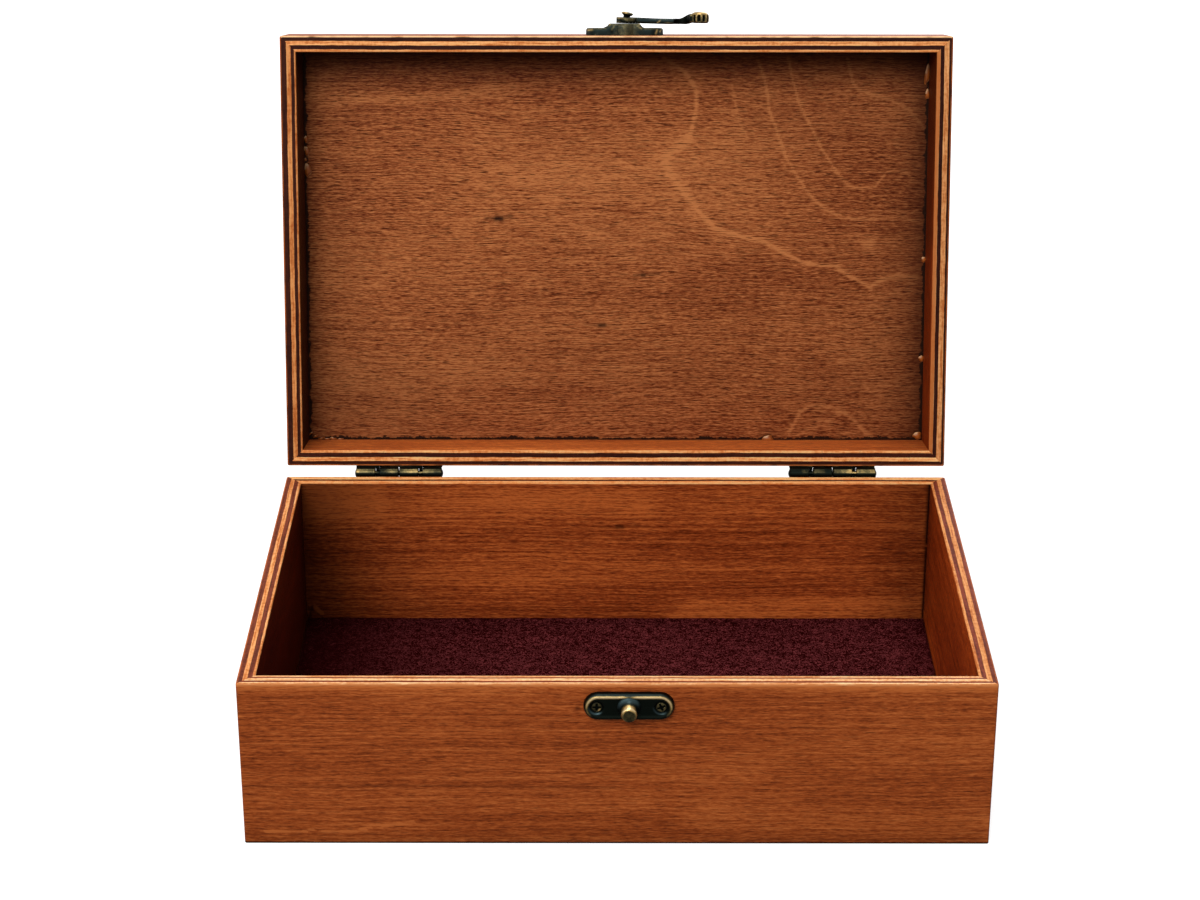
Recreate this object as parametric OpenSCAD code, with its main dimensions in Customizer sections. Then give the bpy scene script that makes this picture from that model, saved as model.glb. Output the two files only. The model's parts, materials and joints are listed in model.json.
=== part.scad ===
// Hinged keepsake box of five-ply, with a felt floor, two stop hinges and a swing latch.
// X runs to the right, Y to the back and Z up. The origin is the middle of the box's underside.
// The lid is drawn where it rests when open, against the stops of its hinges.

/* [Box body] */
// Width of the box and its lid, left to right
body_w = 250; // [160:1:340]
// Depth of the box and its lid, front to back
body_d = 162; // [100:1:240]
// Height of the box body without the lid
body_h = 61; // [35:1:120]
// Thickness of the box's and lid's side boards
wall_t = 6; // [5:0.1:9]
// Thickness of the bottom and top panels
panel_t = 3; // [2:0.1:5]
// How far a panel reaches under the side boards
rabbet_w = 3; // [1.5:0.1:3.5]
// Gap between a panel and its rabbet, on each side
panel_fit = 0.05; // [0:0.01:0.3]
// Thickness of the felt on the floor
felt_t = 1.2; // [0.8:0.1:3]
// Gap between the felt and the side boards
felt_gap = 0.3; // [0.2:0.1:2]

/* [Lid] */
// Height of the lid
lid_h = 27; // [22:1:60]
// Seam between the box's rim and the closed lid
seam = 0.3; // [0.2:0.05:1]
// Angle at which the hinge stops hold the lid open
lid_open = 104.3; // [92:0.1:125]

/* [Hinges] */
// Distance from each end of the box to the middle of its hinge
hinge_inset = 42.5; // [26:0.5:55]
// Length of a hinge along its pin
hinge_len = 32.5; // [26:0.5:45]
// Distance of the hinge axis behind the box's back face
hinge_out = 2.8; // [2.7:0.1:4]
// Outside diameter of the knuckles
knuckle_d = 4.6; // [4:0.1:5]
// Chamfer on the ends of each knuckle
knuckle_chamfer = 0.25; // [0.1:0.05:0.5]
// Thickness of the hinge leaves
leaf_t = 1; // [0.8:0.05:1.4]
// Height of a leaf, from the axis to its far edge
leaf_w = 11.5; // [10:0.5:16]
// Radius of the leaves' far corners
leaf_corner_r = 1.6; // [0.5:0.1:3]
// Distance between the two screws of a leaf
leaf_screw_spacing = 18; // [12:0.5:20]
// Distance from the axis to a leaf's screws
leaf_screw_drop = 7.2; // [6:0.1:7.5]
// Diameter of the hinge pin
pin_d = 1.8; // [1.4:0.1:2]
// Clearance round the pin in its knuckles
pin_fit = 0.05; // [0.02:0.01:0.1]
// Length of the domed head on each end of the pin
pin_head_len = 0.5; // [0.3:0.1:1]
// Diameter of the pin's heads
pin_head_d = 3; // [2.4:0.1:3.8]
// Gap between the first and second knuckle, and the third and fourth, for the stop lugs
stop_gap = 1.6; // [1.2:0.1:2.5]
// Gap between the second and third knuckle
knuckle_gap = 0.3; // [0.2:0.05:0.6]
// Reach of the stop lugs from the axis
stop_reach = 3.6; // [2.8:0.1:4]
// Thickness of a stop lug along the pin
stop_lug_w = 1.2; // [0.8:0.1:1.2]
// Gap between a stop lug and the pin
lug_gap = 0.3; // [0.2:0.05:0.5]
// Gap between a knuckle and the edge of the other leaf
relief_gap = 0.2; // [0.15:0.05:1]
// Angle left between each lug and the plane where the lugs meet
stop_slack = 0.5; // [0.2:0.1:1]

/* [Catch on the box] */
// Distance of the catch's middle to the right of the box's middle
catch_x = 3.9; // [-30:0.1:30]
// Distance of the catch's middle below the rim
catch_drop = 7.7; // [6:0.1:14]
// Length of the catch plate
catch_len = 30; // [28:0.5:40]
// Height of the catch plate
catch_w = 9.8; // [9:0.1:12]
// Thickness of the catch plate
catch_t = 2.3; // [2:0.1:3]
// Chamfer round the catch plate
catch_chamfer = 0.5; // [0.2:0.1:0.8]
// Diameter of the stud
stud_d = 5.4; // [4:0.1:6]
// Diameter of the stud's flared foot
stud_foot_d = 8; // [6.5:0.1:9]
// Height of the flared foot above the plate
stud_foot_h = 1.3; // [0.8:0.1:1.6]
// Diameter of the flat on the stud's end
stud_flat_d = 3.8; // [2:0.1:4]
// How far the stud stands above the arm's top when the arm is hooked on it
stud_proud = 0.3; // [0.1:0.1:3]

/* [Latch on the lid] */
// Distance of the latch's pivot above the seam
pivot_rise = 12.5; // [10:0.1:16]
// Distance of the latch plate's middle to the left of its pivot
plate_shift = 0.8; // [0:0.1:1.5]
// Length of the latch plate
plate_len = 29; // [28:0.5:40]
// Height of the latch plate
plate_w = 10; // [9:0.1:12]
// Thickness of the latch plate's two ends
plate_t = 2.7; // [2:0.1:3]
// Chamfer round the latch plate
plate_chamfer = 0.4; // [0.2:0.1:0.8]
// Diameter of the raised middle of the latch plate
boss_d = 11.8; // [10:0.1:13]
// Chamfer round the raised middle
boss_chamfer = 0.5; // [0.2:0.1:0.8]
// Diameter of the rivet that the arm turns on
rivet_d = 2.6; // [2:0.1:3]
// Clearance round the rivet
rivet_fit = 0.06; // [0.02:0.01:0.1]
// Diameter of the rivet's head
rivet_head_d = 4.2; // [3.6:0.1:5]
// Height of the rivet's head
rivet_head_h = 1.7; // [1:0.1:2]
// Lean of the peened rivet's head
rivet_lean = 8; // [0:1:10]

/* [Latch arm] */
// Gap between the raised middle and the arm
arm_gap = 0.2; // [0.15:0.05:0.5]
// Gap between the stud's foot and the arm when the arm is hooked
foot_gap = 0.35; // [0.25:0.05:1]
// Thickness of the arm
arm_t = 2.2; // [1.8:0.1:2.6]
// Diameter of the arm's round end at the rivet
arm_eye_d = 7.8; // [6:0.1:9]
// Width of the arm's bar
arm_bar_w = 3.4; // [2.4:0.1:4]
// Distance from the rivet to where the bar widens into the hook
arm_shoulder = 11.6; // [9:0.1:13]
// Metal left round the notch of the hook
hook_rim = 1.5; // [1:0.1:2.5]
// How far the hook's mouth stands proud of the bar
hook_lip = 0.5; // [0.2:0.1:1]
// Gap between the stud and the notch that takes it
notch_fit = 0.35; // [0.25:0.05:0.8]
// Droop of the arm from its round end to its tip
arm_droop = 1; // [0:0.1:1]
// Diameter of the fluted thumb knob
knob_d = 6.4; // [5.6:0.1:9]
// Metal between the notch and the knob
knob_neck = 0.6; // [0.4:0.1:3]
// Height of the knob's top above the arm's underside
knob_h = 4.2; // [3.6:0.1:5]
// Height of the domed part of the knob
knob_dome_h = 1; // [0.6:0.1:1.4]
// Lift of the knob's underside above the arm's underside
knob_lift = 0.4; // [0.2:0.1:0.8]
// Flutes round the knob
flutes = 12; // [8:1:14]
// Diameter of a flute
flute_d = 1.2; // [0.8:0.1:1.4]
// Plain rim left under and over the flutes
flute_rim = 0.3; // [0.2:0.05:0.5]

/* [Screws] */
// Diameter of the screws' shanks
screw_d = 1.9; // [1.5:0.1:2.2]
// Diameter of the screws' heads
screw_head_d = 3.6; // [3.2:0.1:4]
// Height of a screw's conical head
screw_head_h = 0.9; // [0.7:0.1:1.2]
// Length of a screw's point
screw_point = 1.4; // [1:0.1:2]
// Wood left beyond a screw's point
screw_end_wood = 1; // [0.6:0.1:2]
// Clearance round a screw
screw_fit = 0.05; // [0.02:0.01:0.15]
// Width of the cross in a screw's head
cross_w = 0.5; // [0.3:0.05:0.7]
// Length of the cross in a screw's head
cross_len = 2.2; // [1.6:0.1:2.6]
// Depth of the cross in a screw's head
cross_depth = 0.6; // [0.3:0.05:0.7]
// Distance between the two screws of the catch, and of the latch plate
plate_screw_spacing = 21.2; // [20:0.1:22]
// Diameter of the dimple round a screw in the catch and latch plates
dimple_d = 5; // [4.6:0.1:5.6]
// Depth of that dimple
dimple_depth = 0.5; // [0.3:0.1:0.7]

/* [Hidden] */

$fn = 64;
CUT = 1; // how far a cutting shape runs past the face that it cuts

wood = [0.55, 0.29, 0.14];
dark_wood = [0.42, 0.20, 0.11];
burgundy = [0.25, 0.07, 0.10];
bronze = [0.24, 0.21, 0.15];
brass = [0.55, 0.45, 0.26];

// Sides of the box in plan, each a quarter turn from the last
FRONT = 0;
RIGHT = 1;
BACK = 2;
LEFT = 3;

lid_z = body_h + seam;
pocket_w = body_w - 2 * (wall_t - rabbet_w);
pocket_d = body_d - 2 * (wall_t - rabbet_w);
inside_w = body_w - 2 * wall_t;
inside_d = body_d - 2 * wall_t;

hinge_spacing = body_w - 2 * hinge_inset;
axis_y = body_d / 2 + hinge_out;
axis_z = body_h + seam / 2;
knuckle_len = (hinge_len - 2 * stop_gap - knuckle_gap) / 4;
knuckle_r = knuckle_d / 2;
bore_r = pin_d / 2 + pin_fit;
leaf_edge = seam / 2;
lug_bore_r = bore_r + lug_gap;
relief_h = knuckle_r + relief_gap;
meet_angle = (180 - lid_open) / 2 - stop_slack;
LID_KNUCKLES = [0, 2];
BOX_KNUCKLES = [1, 3];

catch_z = body_h - catch_drop;
pivot_x = catch_x;
pivot_z = lid_z + pivot_rise;
plate_x = -plate_shift; // from the pivot
notch_x = pivot_rise + seam + catch_drop; // the stud's distance from the pivot when closed
notch_r = stud_d / 2 + notch_fit;
hook_r = notch_r + hook_rim;
droop_drop = notch_x * sin(arm_droop); // how much lower the arm lies at its notch
arm_out = catch_t + stud_foot_h + foot_gap + droop_drop;
boss_out = arm_out - arm_gap;
stud_out = arm_out + arm_t + stud_proud;
rivet_bore_r = rivet_d / 2 + rivet_fit;
knob_x = notch_x + notch_r + knob_neck + knob_d / 2;
flute_h = knob_h - knob_dome_h - knob_lift - 2 * flute_rim;
screw_r = screw_d / 2;
screw_reach = wall_t - screw_end_wood; // from the wood's face to the screw's point

// ---- places ----

// Turns what is drawn for the closed lid to where the open lid rests
module on_open_lid()
    translate([0, axis_y, axis_z])
        rotate([-lid_open, 0, 0])
            translate([0, -axis_y, -axis_z])
                children();

// Local X to the right, Y up and Z out of the front face
module on_front(x, z)
    translate([x, -body_d / 2, z])
        rotate([90, 0, 0])
            children();

// Local X along the hinge axis, Y to the back and Z up, from the middle of a hinge; side is -1 or 1
module on_hinge(side)
    translate([side * hinge_spacing / 2, axis_y, axis_z])
        children();

// Copies along local X, half of spacing to each side
module pair_along_x(spacing)
    for (side = [-1, 1])
        translate([side * spacing / 2, 0, 0])
            children();

// Extrudes a section drawn in Y and Z along X, from x0
module along_x(x0, length)
    translate([x0, 0, 0])
        rotate([90, 0, 90])
            linear_extrude(length)
                children();

// ---- screws ----

// A countersunk screw along -Z, with the top of its head at z = 0 and its point at z = -length
module screw(length) {
    cone_r = screw_head_d / 2;
    difference() {
        union() {
            translate([0, 0, -screw_head_h])
                cylinder(h = screw_head_h, r1 = screw_r, r2 = cone_r);
            translate([0, 0, screw_point - length])
                cylinder(h = length - screw_point - screw_head_h, r = screw_r);
            translate([0, 0, -length])
                cylinder(h = screw_point, r1 = 0, r2 = screw_r);
        }
        for (turn = [0, 90])
            rotate(turn)
                translate([-cross_len / 2, -cross_w / 2, -cross_depth])
                    cube([cross_len, cross_w, cross_depth + CUT]);
    }
}

// The room that a screw needs, in the metal and in the wood
module screw_hole(length) {
    cone_r = screw_head_d / 2 + screw_fit;
    hole_r = screw_r + screw_fit;
    translate([0, 0, -length - screw_fit])
        cylinder(h = length, r = hole_r);
    translate([0, 0, -screw_head_h - screw_fit])
        cylinder(h = screw_head_h, r1 = hole_r, r2 = cone_r);
    translate([0, 0, -screw_fit])
        cylinder(h = CUT, r = cone_r);
}

hinge_screw_len = leaf_t + screw_reach;
catch_screw_top = catch_t - dimple_depth;
latch_screw_top = plate_t - dimple_depth;

// The screws of a hinge leaf, or their holes; up is 1 for the lid's leaf and -1 for the box's
module at_leaf_screws(up)
    translate([0, leaf_t - hinge_out, up * leaf_screw_drop])
        rotate([-90, 0, 0])
            pair_along_x(leaf_screw_spacing)
                children();

// ---- side boards ----

// One of four boards whose ends are mitred at 45 degrees, in a frame of w by d
module mitred_board(side, w, d, h) {
    length = (side % 2 == 0) ? w : d;
    span = (side % 2 == 0) ? d / 2 : w / 2;
    rotate(90 * side)
        linear_extrude(h)
            polygon([[-length / 2, -span], [length / 2, -span],
                     [length / 2 - wall_t, wall_t - span], [wall_t - length / 2, wall_t - span]]);
}

// The room that a panel takes out of the boards
module panel_pocket(z0, h)
    translate([-pocket_w / 2, -pocket_d / 2, z0])
        cube([pocket_w, pocket_d, h]);

module panel(z0)
    translate([panel_fit - pocket_w / 2, panel_fit - pocket_d / 2, z0])
        cube([pocket_w - 2 * panel_fit, pocket_d - 2 * panel_fit, panel_t]);

module box_board(side)
    difference() {
        mitred_board(side, body_w, body_d, body_h);
        panel_pocket(-CUT, panel_t + CUT);
    }

module lid_board(side)
    difference() {
        translate([0, 0, lid_z])
            mitred_board(side, body_w, body_d, lid_h);
        panel_pocket(lid_z + lid_h - panel_t, panel_t + CUT);
    }

module box_front_wall()
    color(wood)
        difference() {
            box_board(FRONT);
            on_front(catch_x, catch_z)
                translate([0, 0, catch_screw_top])
                    pair_along_x(plate_screw_spacing)
                        screw_hole(catch_screw_top + screw_reach);
        }

module box_back_wall()
    color(wood)
        difference() {
            box_board(BACK);
            for (side = [-1, 1])
                on_hinge(side)
                    at_leaf_screws(-1)
                        screw_hole(hinge_screw_len);
        }

module box_left_wall()
    color(dark_wood) box_board(LEFT);

module box_right_wall()
    color(dark_wood) box_board(RIGHT);

module box_bottom_panel()
    color(wood) panel(0);

module felt_liner()
    color(burgundy)
        translate([felt_gap - inside_w / 2, felt_gap - inside_d / 2, panel_t])
            cube([inside_w - 2 * felt_gap, inside_d - 2 * felt_gap, felt_t]);

module lid_front_rail()
    color(wood)
        on_open_lid()
            difference() {
                lid_board(FRONT);
                on_front(pivot_x + plate_x, pivot_z)
                    translate([0, 0, latch_screw_top])
                        pair_along_x(plate_screw_spacing)
                            screw_hole(latch_screw_top + screw_reach);
            }

module lid_back_rail()
    color(wood)
        on_open_lid()
            difference() {
                lid_board(BACK);
                for (side = [-1, 1])
                    on_hinge(side)
                        at_leaf_screws(1)
                            screw_hole(hinge_screw_len);
            }

module lid_left_rail()
    color(dark_wood) on_open_lid() lid_board(LEFT);

module lid_right_rail()
    color(dark_wood) on_open_lid() lid_board(RIGHT);

module lid_top_panel()
    color(wood) on_open_lid() panel(lid_z + lid_h - panel_t);

// ---- hinges ----

// Start of knuckle k along the hinge, from its middle
function knuckle_x(k) = k * knuckle_len + ceil(k / 2) * stop_gap + floor(k / 2) * knuckle_gap
                        - hinge_len / 2;

// A chamfered barrel along X
module knuckle(k)
    translate([knuckle_x(k), 0, 0])
        rotate([0, 90, 0])
            rotate_extrude()
                polygon([[0, 0], [knuckle_r - knuckle_chamfer, 0], [knuckle_r, knuckle_chamfer],
                         [knuckle_r, knuckle_len - knuckle_chamfer],
                         [knuckle_r - knuckle_chamfer, knuckle_len], [0, knuckle_len]]);

// A leaf's plate in X and Z, hanging from the axis, with its two far corners rounded
module leaf_outline() {
    translate([-hinge_len / 2, leaf_corner_r - leaf_w])
        square([hinge_len, leaf_w - leaf_corner_r - leaf_edge]);
    translate([leaf_corner_r - hinge_len / 2, -leaf_w])
        square([hinge_len - 2 * leaf_corner_r, leaf_w - leaf_edge]);
    pair_along_x(hinge_len - 2 * leaf_corner_r)
        translate([0, leaf_corner_r - leaf_w])
            circle(leaf_corner_r);
}

// A stop lug: a sector round the pin, from the leaf to just short of where it meets the other leaf's
module stop_lug(x0) {
    far = 2 * stop_reach;
    along_x(x0 + (stop_gap - stop_lug_w) / 2, stop_lug_w)
        intersection() {
            difference() {
                circle(stop_reach);
                circle(lug_bore_r);
            }
            polygon([[leaf_edge * tan(meet_angle), -leaf_edge],
                     [far * sin(meet_angle), -far * cos(meet_angle)],
                     [-hinge_out, -far], [-hinge_out, -leaf_edge]]);
        }
}

// The leaf below the axis, with its own knuckles and room for the other leaf's
module leaf(own, others)
    difference() {
        union() {
            difference() {
                translate([0, leaf_t - hinge_out, 0])
                    rotate([90, 0, 0])
                        linear_extrude(leaf_t)
                            leaf_outline();
                for (k = others)
                    translate([knuckle_x(k) - knuckle_gap, -hinge_out - CUT, -relief_h])
                        cube([knuckle_len + 2 * knuckle_gap, leaf_t + 2 * CUT, relief_h + CUT]);
            }
            for (k = own)
                knuckle(k);
            for (k = [0, 2])
                stop_lug(knuckle_x(k) + knuckle_len);
        }
        translate([-hinge_len, 0, 0])
            rotate([0, 90, 0])
                cylinder(h = 2 * hinge_len, r = bore_r);
        at_leaf_screws(-1)
            screw_hole(hinge_screw_len);
    }

module box_leaf(side)
    color(bronze)
        on_hinge(side)
            leaf(BOX_KNUCKLES, LID_KNUCKLES);

module lid_leaf(side)
    color(bronze)
        on_open_lid()
            on_hinge(side)
                mirror([0, 0, 1])
                    leaf(LID_KNUCKLES, BOX_KNUCKLES);

// The pin, with a low domed head on each end
module hinge_pin(side)
    color(brass)
        on_hinge(side) {
            shank_len = hinge_len + 2 * pin_fit;
            dome_r = (pow(pin_head_d / 2, 2) + pow(pin_head_len, 2)) / (2 * pin_head_len);
            along_x(-shank_len / 2, shank_len)
                circle(pin_d / 2);
            for (end = [-1, 1])
                translate([end * shank_len / 2, 0, 0])
                    rotate([0, end * 90, 0])
                        intersection() {
                            cylinder(h = pin_head_len, d = pin_head_d);
                            translate([0, 0, pin_head_len - dome_r])
                                sphere(dome_r);
                        }
        }

module box_leaf_screws(side)
    color(brass)
        on_hinge(side)
            at_leaf_screws(-1)
                screw(hinge_screw_len);

module lid_leaf_screws(side)
    color(brass)
        on_open_lid()
            on_hinge(side)
                at_leaf_screws(1)
                    screw(hinge_screw_len);

module left_hinge_box_leaf() box_leaf(-1);
module left_hinge_lid_leaf() lid_leaf(-1);
module left_hinge_pin() hinge_pin(-1);
module left_hinge_box_screws() box_leaf_screws(-1);
module left_hinge_lid_screws() lid_leaf_screws(-1);
module right_hinge_box_leaf() box_leaf(1);
module right_hinge_lid_leaf() lid_leaf(1);
module right_hinge_pin() hinge_pin(1);
module right_hinge_box_screws() box_leaf_screws(1);
module right_hinge_lid_screws() lid_leaf_screws(1);

// ---- catch and latch plates ----

// A plate with round ends, chamfered round its top
module stadium_plate(length, w, t, chamfer) {
    straight = length - w;
    section = [[0, 0], [w / 2, 0], [w / 2, t - chamfer], [w / 2 - chamfer, t], [0, t]];
    for (side = [0, 1])
        mirror([0, side, 0])
            along_x(-straight / 2, straight)
                polygon(section);
    pair_along_x(straight)
        rotate_extrude()
            polygon(section);
}

// The dimple round each screw of a plate, with the screw's own hole
module plate_screw_cuts(t, length)
    pair_along_x(plate_screw_spacing) {
        translate([0, 0, t - dimple_depth])
            cylinder(h = dimple_depth + CUT, d = dimple_d);
        translate([0, 0, t - dimple_depth])
            screw_hole(length);
    }

// The stud: a flared foot that sweeps in to a round shank, and a chamfered end
module stud() {
    flare = (stud_foot_d - stud_d) / 2;
    chamfer = (stud_d - stud_flat_d) / 2;
    rotate_extrude()
        difference() {
            union() {
                square([stud_d / 2, stud_out - chamfer]);
                square([stud_flat_d / 2, stud_out]);
                square([stud_foot_d / 2, catch_t + stud_foot_h]);
                translate([stud_flat_d / 2, stud_out - chamfer])
                    intersection() {
                        circle(chamfer);
                        square(chamfer);
                    }
            }
            translate([stud_foot_d / 2, catch_t + stud_foot_h])
                scale([flare, stud_foot_h])
                    circle(1);
        }
}

module catch_plate()
    color(bronze)
        on_front(catch_x, catch_z)
            difference() {
                union() {
                    stadium_plate(catch_len, catch_w, catch_t, catch_chamfer);
                    stud();
                }
                plate_screw_cuts(catch_t, catch_screw_top + screw_reach);
            }

module catch_screws()
    color(brass)
        on_front(catch_x, catch_z)
            translate([0, 0, catch_screw_top])
                pair_along_x(plate_screw_spacing)
                    screw(catch_screw_top + screw_reach);

module latch_plate()
    color(bronze)
        on_open_lid()
            on_front(pivot_x, pivot_z)
                difference() {
                    translate([plate_x, 0, 0]) {
                        stadium_plate(plate_len, plate_w, plate_t, plate_chamfer);
                        rotate_extrude()
                            polygon([[0, 0], [boss_d / 2, 0], [boss_d / 2, boss_out - boss_chamfer],
                                     [boss_d / 2 - boss_chamfer, boss_out], [0, boss_out]]);
                    }
                    translate([plate_x, 0, 0])
                        plate_screw_cuts(plate_t, latch_screw_top + screw_reach);
                    translate([0, 0, -CUT])
                        cylinder(h = boss_out + 2 * CUT, r = rivet_bore_r);
                }

module latch_screws()
    color(brass)
        on_open_lid()
            on_front(pivot_x + plate_x, pivot_z)
                translate([0, 0, latch_screw_top])
                    pair_along_x(plate_screw_spacing)
                        screw(latch_screw_top + screw_reach);

// The rivet: a straight shank and a head that widens upwards and leans a little
module latch_rivet()
    color(brass)
        on_open_lid()
            on_front(pivot_x, pivot_z) {
                head_z = arm_out + arm_t + arm_gap;
                rivet_r = rivet_d / 2;
                cylinder(h = head_z + rivet_r * sin(rivet_lean), r = rivet_r);
                translate([0, 0, head_z])
                    rotate([0, rivet_lean, 0])
                        cylinder(h = rivet_head_h, r1 = rivet_r, r2 = rivet_head_d / 2);
            }

// ---- latch arm: local X from the rivet to the tip, Y away from the seam, Z out ----

// The arm in plan, before its notch: a round eye, a bar, and a hook whose back is round
module arm_outline() {
    bar_end = notch_x + notch_r + hook_rim;
    circle(d = arm_eye_d);
    translate([0, -arm_bar_w / 2])
        square([arm_shoulder, arm_bar_w]);
    translate([arm_shoulder, -arm_bar_w / 2 - hook_lip])
        square([bar_end - arm_shoulder, arm_bar_w + hook_lip]);
    intersection() {
        translate([notch_x, 0])
            circle(hook_r);
        translate([0, -arm_bar_w / 2])
            square([bar_end, hook_r + arm_bar_w / 2]);
    }
}

// The stem that rises from the hook's back to the knob
module arm_rise() {
    stem_w = arm_bar_w / 2 + hook_rim;
    drum_top = knob_h - knob_dome_h;
    translate([0, stem_w, 0])
        rotate([90, 0, 0])
            linear_extrude(stem_w)
                polygon([[notch_x, arm_t / 2], [notch_x + notch_r, arm_t / 2], [knob_x, knob_lift],
                         [knob_x, drum_top], [notch_x + notch_r, drum_top], [notch_x, arm_t]]);
}

// The notch that the stud slides into, open towards -Y
module arm_notch() {
    translate([notch_x, 0, -CUT])
        cylinder(h = knob_h + 2 * CUT, r = notch_r);
    translate([notch_x - notch_r, -hook_r, -CUT])
        cube([2 * notch_r, hook_r, knob_h + 2 * CUT]);
}

// The knob: a dome on a short drum, with flutes down its side
module arm_knob() {
    knob_r = knob_d / 2;
    drum_top = knob_h - knob_dome_h;
    dome_r = (knob_r * knob_r + knob_dome_h * knob_dome_h) / (2 * knob_dome_h);
    difference() {
        union() {
            translate([0, 0, knob_lift])
                cylinder(h = drum_top - knob_lift, r = knob_r);
            intersection() {
                translate([0, 0, drum_top])
                    cylinder(h = knob_dome_h, r = knob_r);
                translate([0, 0, knob_h - dome_r])
                    sphere(dome_r);
            }
        }
        for (k = [0:flutes - 1])
            rotate((k + 0.5) * 360 / flutes)
                translate([knob_r, 0, knob_lift + flute_rim])
                    cylinder(h = flute_h, d = flute_d);
    }
}

module latch_arm()
    color(bronze)
        on_open_lid()
            on_front(pivot_x, pivot_z)
                translate([0, 0, arm_out])
                    rotate([0, arm_droop, 0])
                        difference() {
                            union() {
                                linear_extrude(arm_t)
                                    arm_outline();
                                arm_rise();
                                translate([knob_x, 0, 0])
                                    arm_knob();
                            }
                            arm_notch();
                            translate([0, 0, -CUT])
                                cylinder(h = arm_t + 2 * CUT, r = rivet_bore_r);
                        }

box_front_wall();
box_back_wall();
box_left_wall();
box_right_wall();
box_bottom_panel();
felt_liner();
lid_front_rail();
lid_back_rail();
lid_left_rail();
lid_right_rail();
lid_top_panel();
left_hinge_box_leaf();
left_hinge_lid_leaf();
left_hinge_pin();
left_hinge_box_screws();
left_hinge_lid_screws();
right_hinge_box_leaf();
right_hinge_lid_leaf();
right_hinge_pin();
right_hinge_box_screws();
right_hinge_lid_screws();
catch_plate();
catch_screws();
latch_plate();
latch_arm();
latch_rivet();
latch_screws();
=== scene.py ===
"""An open keepsake box of stained plywood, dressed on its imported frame.

The four boards of the box and the four rails of the lid are profiles carried along their length and
mitred. The lid's panel and the felt are fine sheets of points. The catch and the latch are rings of
points in their own plane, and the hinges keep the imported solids' shapes. Most pieces are drawn on
the closed lid and then opened. Lengths are in metres unless a name or a comment says mm.
"""

import json
import math

import bpy
import numpy as np
from mathutils import Matrix, Vector


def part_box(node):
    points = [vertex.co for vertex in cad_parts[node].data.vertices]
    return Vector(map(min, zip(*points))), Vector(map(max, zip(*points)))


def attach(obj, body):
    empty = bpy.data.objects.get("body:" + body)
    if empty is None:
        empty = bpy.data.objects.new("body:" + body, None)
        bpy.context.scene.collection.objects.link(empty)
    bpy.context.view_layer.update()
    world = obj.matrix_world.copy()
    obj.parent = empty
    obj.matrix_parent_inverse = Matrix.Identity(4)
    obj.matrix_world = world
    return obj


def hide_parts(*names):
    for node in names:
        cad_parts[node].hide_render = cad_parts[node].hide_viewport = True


bl_info = {
    "name": "Keepsake box",
    "version": (1, 0, 0),
    "blender": (4, 5, 0),
    "location": "3D View > Sidebar > Keepsake box",
    "description": "Plywood, felt and worn bronze on an open hinged keepsake box",
    "category": "Object",
}

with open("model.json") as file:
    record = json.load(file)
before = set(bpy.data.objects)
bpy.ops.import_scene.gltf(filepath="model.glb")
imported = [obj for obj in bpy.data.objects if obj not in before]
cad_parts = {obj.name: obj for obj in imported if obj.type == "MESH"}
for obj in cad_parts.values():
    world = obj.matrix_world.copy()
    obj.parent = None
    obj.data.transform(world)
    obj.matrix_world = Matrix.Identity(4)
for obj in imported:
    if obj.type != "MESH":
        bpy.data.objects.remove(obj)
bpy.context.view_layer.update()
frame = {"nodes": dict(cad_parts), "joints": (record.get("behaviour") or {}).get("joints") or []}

MM = 0.001

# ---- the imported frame's own measures ----


def joint_named(name):
    """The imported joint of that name."""
    return next(joint for joint in frame["joints"] if joint["name"] == name)


def node_points(name):
    """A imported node's vertices as an array of points."""
    mesh = frame["nodes"][name].data
    points = np.empty(len(mesh.vertices) * 3)
    mesh.vertices.foreach_get("co", points)
    return points.reshape(-1, 3)


def turned(points, angle, centre, axis):
    """Points turned about an axis through a centre, by the vector form of a rotation matrix."""
    turn = np.array(Matrix.Rotation(angle, 3, Vector(axis)))
    return (np.asarray(points) - centre) @ turn.T + centre


HINGE = joint_named("lid_hinge")
HINGE_AT = np.array(HINGE["pos_m"])
HINGE_AXIS = np.array(HINGE["axis"], float)
LID_OPEN = math.radians(HINGE["range_deg"][1])


def opened(points):
    """Points of the closed lid, turned to where the open lid rests."""
    return turned(points, -LID_OPEN, HINGE_AT, HINGE_AXIS)


def closed(points):
    """Points of the open lid, turned back to the closed lid."""
    return turned(points, LID_OPEN, HINGE_AT, HINGE_AXIS)


FRONT_LOW, FRONT_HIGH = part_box("box_front_wall")
BODY_W = FRONT_HIGH.x - FRONT_LOW.x
BODY_D = -2 * FRONT_LOW.y
BODY_H = FRONT_HIGH.z
WALL = FRONT_HIGH.y - FRONT_LOW.y
FELT_LOW, FELT_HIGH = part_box("felt_liner")
PANEL_T = FELT_LOW.z
LID_POINTS = closed(node_points("lid_front_rail"))
LID_Z, LID_TOP = LID_POINTS[:, 2].min(), LID_POINTS[:, 2].max()
LID_H = LID_TOP - LID_Z
PANEL_POINTS = closed(node_points("lid_top_panel"))
PANEL_LOW, PANEL_HIGH = PANEL_POINTS.min(0), PANEL_POINTS.max(0)
RABBET = WALL - (BODY_W / 2 - PANEL_HIGH[0])

# ---- meshes from arrays ----


def grid_quads(rows, columns, wrap=False):
    """The quads of a grid of points in rows; wrap joins the last column to the first."""
    across = np.arange(columns if wrap else columns - 1)[None, :]
    down = np.arange(rows - 1)[:, None] * columns
    following = (across + 1) % columns
    corners = (down + across, down + following,
               down + columns + following, down + columns + across)
    return np.stack(corners, axis=-1).reshape(-1, 4)


def capped(rows, columns):
    """The faces of points in rows that are closed rings, with a face across the first and last."""
    ring = np.arange(columns)[None, :]
    return [grid_quads(rows, columns, wrap=True), ring[:, ::-1], (rows - 1) * columns + ring]


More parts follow.
